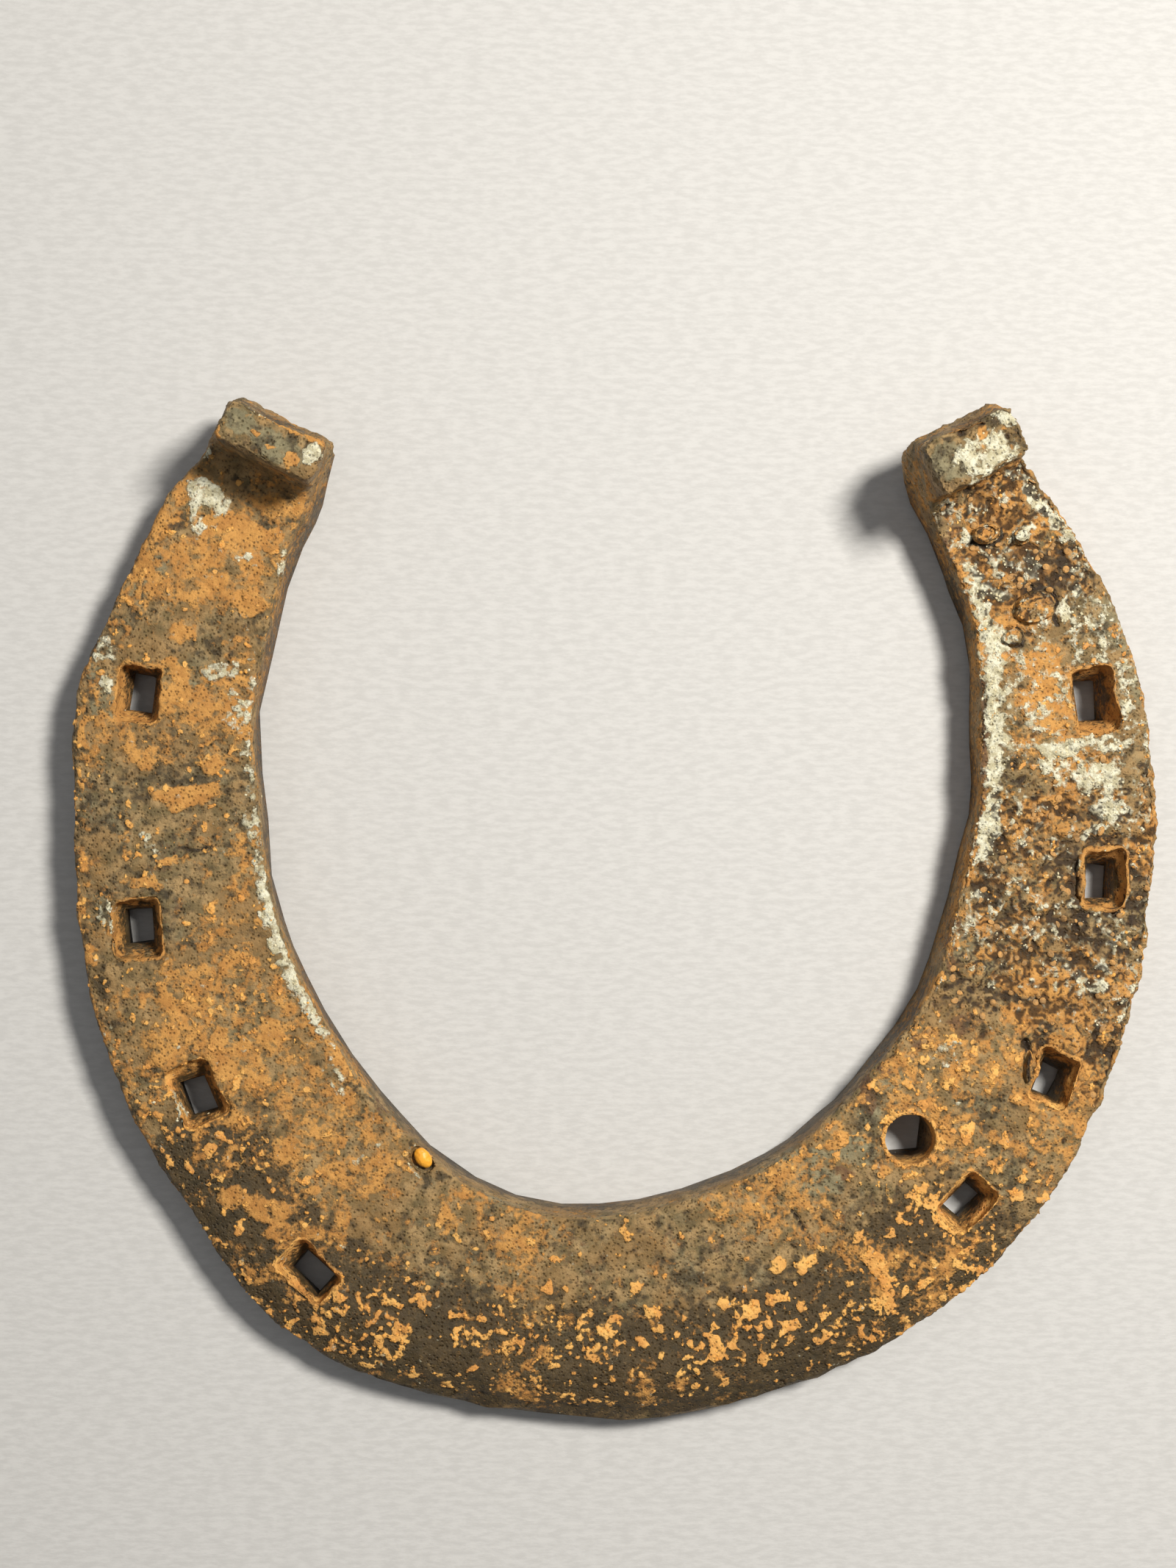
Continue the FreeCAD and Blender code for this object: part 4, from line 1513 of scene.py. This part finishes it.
@dataclass(frozen=True)
class RustedIron:
    """Old wrought iron: olive-brown patina under layers of rust, crust and lime, with painted shade
    in its hollows.

    Args:
        tones: The patina's own colours.
        warm: A warmer brown that drifts over it.
        hollow: Colour of the painted shade in pits, pores and cracks.
        rough: The patina's roughness.
        relief: How high the finest crust stands, in millimetres.
        specks: How strongly a layer's specks show.
        drift: How much of the patina the warmer brown hides where it is thickest.
        hollow_shade_strength, pore_shade_strength: How dark the painted shade in the hollows and in
        the finest pores is.
        layers: The finishes that lie over the patina, lowest first.
    """

    tones: Tones = Tones(paint(108, 92, 58), paint(166, 136, 90), paint(66, 50, 30))
    warm: Colour = paint(136, 102, 56)
    # Colour of the painted shade in the hollows.
    hollow: Colour = paint(44, 30, 16)
    rough: float = 0.56
    relief: float = 0.32
    specks: float = 0.7
    drift: float = 0.6
    hollow_shade_strength: float = 0.88
    pore_shade_strength: float = 0.5
    layers: tuple[Layer, ...] = (
        Layer(
            Finish.GREY, Tones(paint(116, 110, 82), paint(144, 136, 104), paint(84, 76, 54)),
            scale=0.5, fray=0.5, grain=1.2, rough=0.5, height=0.0, soft=0.22, strength=0.8,
        ),
        Layer(
            Finish.BROWN, Tones(paint(92, 64, 42), paint(118, 84, 54), paint(56, 38, 27)),
            scale=0.9, fray=0.7, grain=1.6, rough=0.6, height=0.1, soft=0.14, strength=0.85,
        ),
        # Dark patina, and the painted shade of the walls, the holes and the cracks.
        Layer(
            Finish.DARK, Tones(paint(64, 52, 31), paint(46, 38, 23), paint(104, 82, 46)),
            scale=0.8, fray=1.1, grain=0.9, rough=0.5, height=0.1, soft=0.18, strength=0.88,
        ),
        Layer(
            Finish.ORANGE, Tones(paint(208, 152, 80), paint(184, 128, 64), paint(140, 96, 48)),
            scale=0.6, fray=1.0, grain=1.3, rough=0.9, height=0.35, soft=0.14, strength=0.9,
        ),
        Layer(
            Finish.OCHRE, Tones(paint(232, 178, 98), paint(208, 146, 76), paint(178, 122, 58)),
            scale=0.3, fray=0.8, grain=1.5, rough=0.9, height=0.6, soft=0.08,
        ),
        Layer(
            Finish.LIME, Tones(paint(224, 220, 194), paint(182, 173, 140), paint(132, 114, 80)),
            scale=0.9, fray=1.2, grain=1.4, rough=0.92, height=0.6, soft=0.15,
        ),
    )

    def build(self, groups: SharedGroups) -> bpy.types.Material:
        """Makes the material.

        Args:
            groups: The shared node groups.

        Returns:
            The finished material.
        """
        material, sheet = new_material("rusted_iron", self.tones.main)
        where = millimetres(sheet)
        colour = self.tones.mottled(sheet, groups, where, 0.42, 0.8)
        drift = sheet.eased(sheet.noise(where, 0.11, 5.0, 0.65), 0.42, 0.62)
        colour = sheet.mixed(sheet.maths("MULTIPLY", drift, self.drift), colour, self.warm)
        rough: object = self.rough
        grain_inputs = {"Vector": where, "Scale": 1.9, "Pitting": 0.8}
        height = sheet.group(groups.grain, grain_inputs).outputs[0]
        # Painted shade in the finest pores, where the fine relief is low.
        pore_shade = sheet.maths("SUBTRACT", 1.0, sheet.eased(height, -0.15, 0.42))
        for layer in self.layers:
            mask = layer.mask(sheet, groups, where)
            tone = layer.tones.mottled(sheet, groups, where, layer.scale, self.specks)
            colour = sheet.mixed(mask, colour, tone)
            rough = sheet.blended(mask, rough, layer.rough)
            height = sheet.maths("ADD", height, sheet.maths("MULTIPLY", mask, layer.height))
        # Painted shade: hollows and pores are darkened towards the hollow colour.
        sunk = sheet.eased(sheet.attribute(Finish.HOLLOW.value), 0.35, 0.95)
        sunk = sheet.maths("MULTIPLY", sunk, self.hollow_shade_strength)
        pore_shade = sheet.maths("MULTIPLY", pore_shade, self.pore_shade_strength)
        colour = sheet.mixed(sheet.maths("MAXIMUM", sunk, pore_shade), colour, self.hollow)
        finish_surface(sheet, colour, rough, height, self.relief)
        return material


@dataclass(frozen=True)
class SimpleCrust:
    """A finish of one kind of crust, with no layers over it.

    Args:
        name: Name of the material.
        tones: Its colours.
        scale: How many mottles there are to a millimetre.
        specks: How strongly its specks show, from 0 to 1.
        rough: Its middle roughness.
        relief: How high its finest relief stands, in millimetres.
        rough_spread: How far its roughness varies to either side.
    """

    name: str
    tones: Tones
    scale: float
    specks: float
    rough: float
    relief: float
    rough_spread: float = 0.08

    def build(self, groups: SharedGroups) -> bpy.types.Material:
        """Makes the material.

        Args:
            groups: The shared node groups.

        Returns:
            The finished material.
        """
        material, sheet = new_material(self.name, self.tones.main)
        where = millimetres(sheet)
        colour = self.tones.mottled(sheet, groups, where, self.scale, self.specks)
        grain_inputs = {"Vector": where, "Scale": 2.6, "Pitting": 0.5}
        height = sheet.group(groups.grain, grain_inputs).outputs[0]
        low, high = self.rough - self.rough_spread, self.rough + self.rough_spread
        vary = sheet.blended(sheet.noise(where, 1.5), low, high)
        finish_surface(sheet, colour, vary, height, self.relief)
        return material


RUST_SCALE = SimpleCrust(
    "rust_scale", Tones(paint(150, 116, 74), paint(196, 146, 84), paint(84, 62, 40)),
    scale=0.9, specks=0.7, rough=0.8, relief=0.16,
)
AMBER_GRIT = SimpleCrust(
    "amber_grit", Tones(paint(236, 166, 52), paint(224, 148, 40), paint(190, 118, 36)),
    scale=0.8, specks=0.4, rough=0.38, relief=0.03,
)
OCHRE_GRAINS = SimpleCrust(
    "ochre_grains", Tones(paint(226, 168, 84), paint(206, 142, 66), paint(172, 112, 52)),
    scale=0.8, specks=0.6, rough=0.9, relief=0.10,
)
LIME_CRUMBS = SimpleCrust(
    "lime_crumbs", Tones(paint(222, 214, 182), paint(196, 184, 146), paint(156, 134, 96)),
    scale=0.9, specks=0.6, rough=0.92, relief=0.10,
)


@dataclass(frozen=True)
class PaleFloor:
    """Pale card with a faint fibre."""

    tone: Colour = paint(194, 192, 188)
    second: Colour = paint(185, 183, 179)
    stretch: tuple[float, float, float] = (0.5, 1.6, 1.0)
    rough: float = 0.85
    relief: float = 0.06

    def build(self) -> bpy.types.Material:
        """Makes the material."""
        material, sheet = new_material("pale_floor", self.tone)
        where = millimetres(sheet)
        stretch_inputs = {"Vector": where, "Scale": self.stretch}
        stretched = sheet.add("ShaderNodeMapping", stretch_inputs).outputs[0]
        fibre = sheet.noise(stretched, 0.9, 4.0, 0.6)
        colour = sheet.mixed(sheet.eased(fibre, 0.35, 0.65), self.tone, self.second)
        finish_surface(sheet, colour, self.rough, fibre, self.relief)
        return material


# ---------------------------------------------------------------------------
# Crumbs and flakes scattered over the iron
# ---------------------------------------------------------------------------


@dataclass(frozen=True)
class Scatter:
    """One kind of crumb that lies on the iron wherever a finish is.

    Args:
        name: Name of the piece that all the crumbs make.
        finish: The finish that they lie on.
        to_the_square: How many lie on a square millimetre where the finish is full.
        smallest, largest: Radius in millimetres.
        flat: Height of a crumb against its width.
        seed: Which of the random fields to read.
    """

    name: str
    finish: Finish
    to_the_square: float
    smallest: float
    largest: float
    flat: float
    seed: int


LIME_SCATTER = Scatter("lime_crumbs", Finish.CRUMBS, 1.8, 0.06, 0.2, 0.6, 3)
OCHRE_SCATTER = Scatter("ochre_grains", Finish.GRAINS, 1.4, 0.08, 0.26, 0.55, 5)
FLAKE_SCATTER = Scatter("rust_flakes", Finish.FLAKY, 0.3, 0.22, 0.6, 0.26, 8)


# Least and most that a crumb is stretched and turned, along and about its own three axes.
# The turns are in radians.
CRUMB_STRETCH = ((0.7, 0.7, 0.8), (1.3, 1.0, 1.1))
CRUMB_TURN = ((-0.3, -0.3, 0.0), (0.3, 0.3, 6.28))


class CrumbScatter:
    """The geometry tree that scatters crumbs over a mesh by an attribute."""

    def __init__(self) -> None:
        """Builds the tree once, with a named input for each size."""
        tree = bpy.data.node_groups.new("crumb_scatter", "GeometryNodeTree")
        self.tree = tree
        geometry, number = "NodeSocketGeometry", "NodeSocketFloat"
        tree.interface.new_socket(name="Geometry", in_out="INPUT", socket_type=geometry)
        tree.interface.new_socket(name="Finish", in_out="INPUT", socket_type="NodeSocketString")
        for label in ("Density", "Smallest", "Largest", "Flatness"):
            tree.interface.new_socket(name=label, in_out="INPUT", socket_type=number)
        tree.interface.new_socket(name="Seed", in_out="INPUT", socket_type="NodeSocketInt")
        tree.interface.new_socket(name="Material", in_out="INPUT", socket_type="NodeSocketMaterial")
        tree.interface.new_socket(name="Geometry", in_out="OUTPUT", socket_type=geometry)
        sheet = NodeSheet(tree)
        given = sheet.add("NodeGroupInput").outputs
        name_inputs = {"Name": given["Finish"]}
        weight = sheet.add("GeometryNodeInputNamedAttribute", name_inputs, data_type="FLOAT")
        density = sheet.maths("MULTIPLY", weight.outputs["Attribute"], given["Density"])
        spread_inputs = {"Mesh": given["Geometry"], "Density": density, "Seed": given["Seed"]}
        spread = sheet.add(
            "GeometryNodeDistributePointsOnFaces", spread_inputs, distribute_method="RANDOM"
        )
        size_inputs = {2: given["Smallest"], 3: given["Largest"], "Seed": given["Seed"]}
        size = sheet.add("FunctionNodeRandomValue", size_inputs, data_type="FLOAT").outputs[1]
        stretch, turn = (
            sheet.add(
                "FunctionNodeRandomValue", {0: least, 1: most, "Seed": given["Seed"]},
                data_type="FLOAT_VECTOR",
            ).outputs[0]
            for least, most in (CRUMB_STRETCH, CRUMB_TURN)
        )
        low = sheet.add("ShaderNodeCombineXYZ", {0: 1.0, 1: 1.0, 2: given["Flatness"]})
        shape_inputs = {0: stretch, 1: low.outputs[0]}
        shape = sheet.add("ShaderNodeVectorMath", shape_inputs, operation="MULTIPLY")
        scale_inputs = {0: shape.outputs[0], "Scale": size}
        scale = sheet.add("ShaderNodeVectorMath", scale_inputs, operation="SCALE").outputs[0]
        rotate_inputs = {"Rotation": spread.outputs["Rotation"], "Rotate By": turn}
        rotation = sheet.add("FunctionNodeRotateRotation", rotate_inputs, rotation_space="LOCAL")
        crumb = sheet.add("GeometryNodeMeshIcoSphere", {"Radius": 1.0, "Subdivisions": 2})
        place_inputs = {
            "Points": spread.outputs["Points"], "Instance": crumb.outputs["Mesh"],
            "Rotation": rotation.outputs[0], "Scale": scale,
        }
        placed = sheet.add("GeometryNodeInstanceOnPoints", place_inputs)
        real = sheet.add("GeometryNodeRealizeInstances", {"Geometry": placed.outputs[0]})
        smooth = sheet.add("GeometryNodeSetShadeSmooth", {"Geometry": real.outputs[0]})
        dressed_inputs = {"Geometry": smooth.outputs[0], "Material": given["Material"]}
        dressed = sheet.add("GeometryNodeSetMaterial", dressed_inputs)
        sheet.add("NodeGroupOutput", {"Geometry": dressed.outputs[0]})

    def scatter(
        self, over: bpy.types.Mesh, kind: Scatter, material: bpy.types.Material
    ) -> bpy.types.Object:
        """Scatters one kind of crumb.

        Args:
            over: The mesh that they lie on.
            kind: Which crumbs, and how many.
            material: Their finish.

        Returns:
            One object that holds all of them.
        """
        work = mesh_object(kind.name + "_work", over.copy())
        modifier = work.modifiers.new("scatter", "NODES")
        modifier.node_group = self.tree
        values = {
            "Finish": kind.finish.value, "Density": kind.to_the_square / (MM * MM),
            "Smallest": kind.smallest * MM, "Largest": kind.largest * MM,
            "Flatness": kind.flat, "Seed": kind.seed, "Material": material,
        }
        for item in self.tree.interface.items_tree:
            if item.in_out == "INPUT" and item.name in values:
                modifier[item.identifier] = values[item.name]
        mesh = baked(work, kind.name)
        return mesh_object(kind.name, mesh)


# ---------------------------------------------------------------------------
# The pieces of the horseshoe
# ---------------------------------------------------------------------------


@dataclass
class Yard:
    """What every piece is made from.

    Args:
        frame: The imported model.
        groups: The shared node groups.
        iron: The finish of the bar and of its scale.
        middle: The point between the branches, in millimetres in the row frame.
        whole: The CAD node whose box holds every piece.
        outline: The bar's outline, once the bar has been read.
        nail_hole_crust, round_hole_crust: How thickly rust lines those holes, from 0 to 1.
    """

    frame: dict[str, object]
    groups: SharedGroups
    iron: bpy.types.Material
    middle: tuple[float, float] = (-3.8, 16.8)
    whole: str = "forged_shoe"
    outline: ShoeOutline | None = None
    nail_hole_crust: float = 1.0
    round_hole_crust: float = 0.2

    def measured(self, rows: Array) -> Array:
        """Places in metres in the row frame, as millimetres from between the branches."""
        return rows / MM - np.array((*self.middle, 0.0))

    def holes(self) -> tuple[Array, list[float]]:
        """Finds the punched and drilled holes by their mounts.

        Returns:
            Their axes in millimetres, and how thickly rust lines each, from 0 to 1.
        """
        mounts = [mount for mount in self.frame["record"]["mounts"] if "hole" in mount["name"]]
        found = [mount["pos_m"] for mount in mounts]
        crusts = [
            self.round_hole_crust if "round" in mount["name"] else self.nail_hole_crust
            for mount in mounts
        ]
        return self.measured(np.array(found))[:, :2], crusts

    def weather(self, mesh: bpy.types.Mesh) -> Weathering:
        """Works out the weathering of a mesh.

        Args:
            mesh: The mesh. The first one is the bar's own, and also gives the outline.

        Returns:
            The weathering of that mesh.
        """
        places, normals = self.measured(vertex_rows(mesh, "co")), vertex_rows(mesh, "normal")
        if self.outline is None:
            self.outline = ShoeOutline(places, normals, *self.holes())
        return Weathering(ShoeChart(self.outline, places, normals))

    def fit(self, piece: bpy.types.Object, slot: str, *nodes: str) -> None:
        """Hangs a finished piece on the shoe's body.

        Args:
            piece: The piece.
            slot: Not used.
            nodes: The CAD nodes that it stands for.
        """
        keep_inside(piece.data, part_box(self.whole))
        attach(piece, BODY)
        if nodes:
            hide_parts(*nodes)
        LOG.info("%s: %d faces", piece.name, len(piece.data.polygons))


@dataclass
class ForgedShoe:
    """The forged bar with its calks, nail holes and drilled hole.

    Args:
        yard: What every piece is made from.
        node: The CAD node that it stands for.
        slot: Name of a material slot, handed to Yard.fit, which does not use it.
        pitch, quick_pitch: Length of its mesh's edges in millimetres; quick_pitch is not used.
        faces, quick_faces: How many triangles it keeps; quick_faces is not used.
    """

    yard: Yard
    node: str = "forged_shoe"
    slot: str = "rusted_iron"
    pitch: float = 0.34
    quick_pitch: float = 0.6
    faces: int = 194000
    quick_faces: int = 90000

    def build(self) -> bpy.types.Object:
        """Makes the bar's weathered surface and dresses it.

        Returns:
            The finished piece.
        """
        pitch = self.pitch
        mesh = finely_meshed(self.node, pitch)
        weather = self.yard.weather(mesh)
        chart = weather.chart
        move_in(mesh, weather.dress(mesh), chart.normals)
        spare = np.clip(1.0 - chart.upper - chart.tip, 0.0, 1.0)
        faces = self.faces
        mesh = thinned(mesh, faces, np.round(spare * 2.0) / 2.0)
        shade_smooth(mesh)
        mesh.materials.append(self.yard.iron)
        piece = mesh_object("weathered_shoe", mesh)
        self.yard.fit(piece, self.slot, self.node)
        return piece


@dataclass
class ScalePiece:
    """One plate or blister of rust scale standing on the ground face.

    Args:
        yard: What every piece is made from.
        node: The CAD node that it stands for.
        low_side: Direction in degrees in which its top slopes down into the iron.
        slope: How far it slopes, in millimetres for each millimetre across.
        slot: Name of a material slot, handed to Yard.fit, which does not use it.
        pitch: Length of its mesh's edges in millimetres.
        skirt: How deep its foot is set into the iron, in millimetres.
        foot: How high its foot reaches above the ground face, in millimetres.
        bite: How strongly its broken sides are eaten away; their deepest is about 0.7 of it.
    """

    yard: Yard
    node: str
    low_side: float
    slope: float
    slot: str = "rust_scale"
    pitch: float = 0.09
    skirt: float = 0.9
    foot: float = 0.35
    bite: float = 1.5

    def build(self) -> None:
        """Makes the broken plate and sets its foot into the eaten-away iron."""
        mesh = finely_meshed(self.node, self.pitch)
        self.yard.weather(mesh).dress(mesh)
        normals = vertex_rows(mesh, "normal")
        places = self.yard.measured(vertex_rows(mesh, "co"))
        side = 1.0 - np.abs(normals[:, 2])
        upright_grain = places * np.array((1.0, 1.0, 0.2))
        broken = np.clip(cloud(upright_grain, 1.9, 61, 4, 0.6) - 0.3, 0.0, None)
        lumps = 0.3 * cloud(places, 0.9, 62) + 0.3 * spots(places, 0.9, 0.35, 0.5, 63)
        depth = side * self.bite * broken + (1.0 - side) * lumps
        depth += 0.12 * cloud(places, 0.35, 64, 2)
        low = 1.0 - ramp(GROUND_FACE + 0.05, GROUND_FACE + self.foot, places[:, 2])
        move_in(mesh, np.clip(depth, 0.0, None) * (1.0 - 0.6 * low), normals)
        rows = vertex_rows(mesh, "co")
        angle = np.radians(self.low_side)
        middle = (rows.min(axis=0) + rows.max(axis=0)) / 2.0
        across = (rows[:, :2] - middle[:2]) @ np.array((np.cos(angle), np.sin(angle)))
        rows[:, 2] -= low * self.skirt * MM
        rows[:, 2] -= (1.0 - low) * np.clip(across * self.slope, 0.0, None)
        mesh.vertices.foreach_set("co", rows.ravel())
        shade_smooth(mesh)
        mesh.materials.append(self.yard.iron)
        self.yard.fit(mesh_object(self.node + "_broken", mesh), self.slot, self.node)


@dataclass
class LodgedGrain:
    """The amber grain of grit wedged in the ground face."""

    yard: Yard
    node: str = "lodged_grain"
    slot: str = "amber_grit"
    pitch: float = 0.07

    def build(self) -> None:
        """Makes the worn, slightly lumpy grain."""
        mesh = finely_meshed(self.node, self.pitch)
        places = self.yard.measured(vertex_rows(mesh, "co"))
        depth = 0.14 * cloud(places, 1.2, 71, 2) + 0.05 * cloud(places, 0.4, 72, 2)
        move_in(mesh, np.clip(depth, 0.0, None), vertex_rows(mesh, "normal"))
        shade_smooth(mesh)
        mesh.materials.append(AMBER_GRIT.build(self.yard.groups))
        self.yard.fit(mesh_object("amber_grain", mesh), self.slot, self.node)


@dataclass
class Crumbs:
    """The lime crumbs, ochre grains and rust flakes that lie on the iron."""

    yard: Yard
    over: bpy.types.Mesh
    slot: str = "rust_scale"

    def build(self) -> None:
        """Scatters each kind over the weathered surface."""
        tool = CrumbScatter()
        for kind, finish in (
            (LIME_SCATTER, LIME_CRUMBS),
            (OCHRE_SCATTER, OCHRE_GRAINS),
            (FLAKE_SCATTER, RUST_SCALE),
        ):
            piece = tool.scatter(self.over, kind, finish.build(self.yard.groups))
            self.yard.fit(piece, self.slot)


# ---------------------------------------------------------------------------
# Floor, light and camera
# ---------------------------------------------------------------------------


@dataclass(frozen=True)
class Lamp:
    """A soft square lamp that faces the shoe.

    Args:
        name: Name of the lamp.
        at: Where it hangs, in metres.
        size: Length of its side in metres.
        watts: Its power.
        colour: Colour of its light.
    """

    name: str
    at: tuple[float, float, float]
    size: float
    watts: float
    colour: tuple[float, float, float]

    def hang(self) -> None:
        """Places the lamp."""
        light = bpy.data.lights.new(self.name, "AREA")
        light.size = self.size
        light.energy = self.watts
        light.color = self.colour
        lamp = bpy.data.objects.new(self.name, light)
        lamp.location = self.at
        lamp.rotation_mode = "QUATERNION"
        lamp.rotation_quaternion = (-Vector(self.at)).to_track_quat("-Z", "Y")
        bpy.context.scene.collection.objects.link(lamp)


@dataclass
class Studio:
    """The pale floor, the soft lamps and the camera.

    Args:
        lens, sensor: The camera's focal length and the width of its sensor, in millimetres.
        eye, aim: Where the camera is and what it looks at, in metres.
        nearest: How near the camera sees, in metres.
        floor_half: Half the floor's width in metres.
        sky: Strength of the even light from all sides.
        lamps: The lamps.
    """

    lens: float = 52.0
    sensor: float = 36.0
    eye: tuple[float, float, float] = (-0.01943, 0.01682, 0.301)
    aim: tuple[float, float, float] = (-0.003804, 0.016823, 0.0)
    nearest: float = 0.01
    floor_half: float = 3.0
    sky: float = 0.17
    lamps: tuple[Lamp, ...] = (
        Lamp("key", (0.21, 0.17, 0.47), 0.10, 4.2, (1.0, 0.97, 0.92)),
        Lamp("fill", (-0.25, 0.15, 0.75), 0.8, 1.0, (0.95, 0.97, 1.0)),
    )

    def lay_floor(self) -> None:
        """Lays the floor under the hoof face."""
        half = self.floor_half
        mesh = bpy.data.meshes.new("floor")
        places = [(-half, -half, 0.0), (half, -half, 0.0), (half, half, 0.0), (-half, half, 0.0)]
        mesh.from_pydata(places, [], [(0, 1, 2, 3)])
        mesh.materials.append(PaleFloor().build())
        mesh_object("floor", mesh)

    def light(self) -> None:
        """Hangs the lamps and sets an even, dim sky."""
        world = bpy.data.worlds.new("sky")
        world.use_nodes = True
        sheet = NodeSheet(world.node_tree)
        inputs = {"Color": paint(236, 238, 242), "Strength": self.sky}
        sky = sheet.add("ShaderNodeBackground", inputs)
        sheet.add("ShaderNodeOutputWorld", {"Surface": sky.outputs[0]})
        bpy.context.scene.world = world
        for lamp in self.lamps:
            lamp.hang()

    def set_camera(self) -> None:
        """Looks almost straight down from above the branches, heels at the top."""
        data = bpy.data.cameras.new("camera")
        data.lens = self.lens
        data.sensor_width = self.sensor
        data.clip_start = self.nearest
        camera = bpy.data.objects.new("camera", data)
        ahead = (Vector(self.aim) - Vector(self.eye)).normalized()
        right = ahead.cross(Vector((0.0, 1.0, 0.0))).normalized()
        above = right.cross(ahead)
        turned = Matrix((right, above, -ahead)).transposed().to_4x4()
        turned.translation = Vector(self.eye)
        camera.matrix_world = turned
        bpy.context.scene.collection.objects.link(camera)
        bpy.context.scene.camera = camera
        bpy.context.scene.view_settings.view_transform = "Standard"

    def build(self) -> None:
        """Sets up everything round the shoe."""
        self.lay_floor()
        self.light()
        self.set_camera()


def main() -> None:
    """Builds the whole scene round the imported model."""
    logging.basicConfig(level=logging.INFO, format="%(message)s")
    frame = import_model()
    groups = SharedGroups()
    yard = Yard(frame, groups, RustedIron().build(groups))
    shoe = ForgedShoe(yard).build()
    for node, low_side, slope in (
        ("heel_scale_plate", 190.0, 0.16),
        ("heel_ring_blister", 60.0, 0.10),
        ("heel_white_blister", 300.0, 0.15),
        ("quarter_blister", 120.0, 0.20),
        ("nail_hole_flake", 160.0, 0.30),
    ):
        ScalePiece(yard, node, low_side, slope).build()
    LodgedGrain(yard).build()
    Crumbs(yard, shoe.data).build()
    Studio().build()
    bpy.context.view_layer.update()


if __name__ == "__main__":
    main()
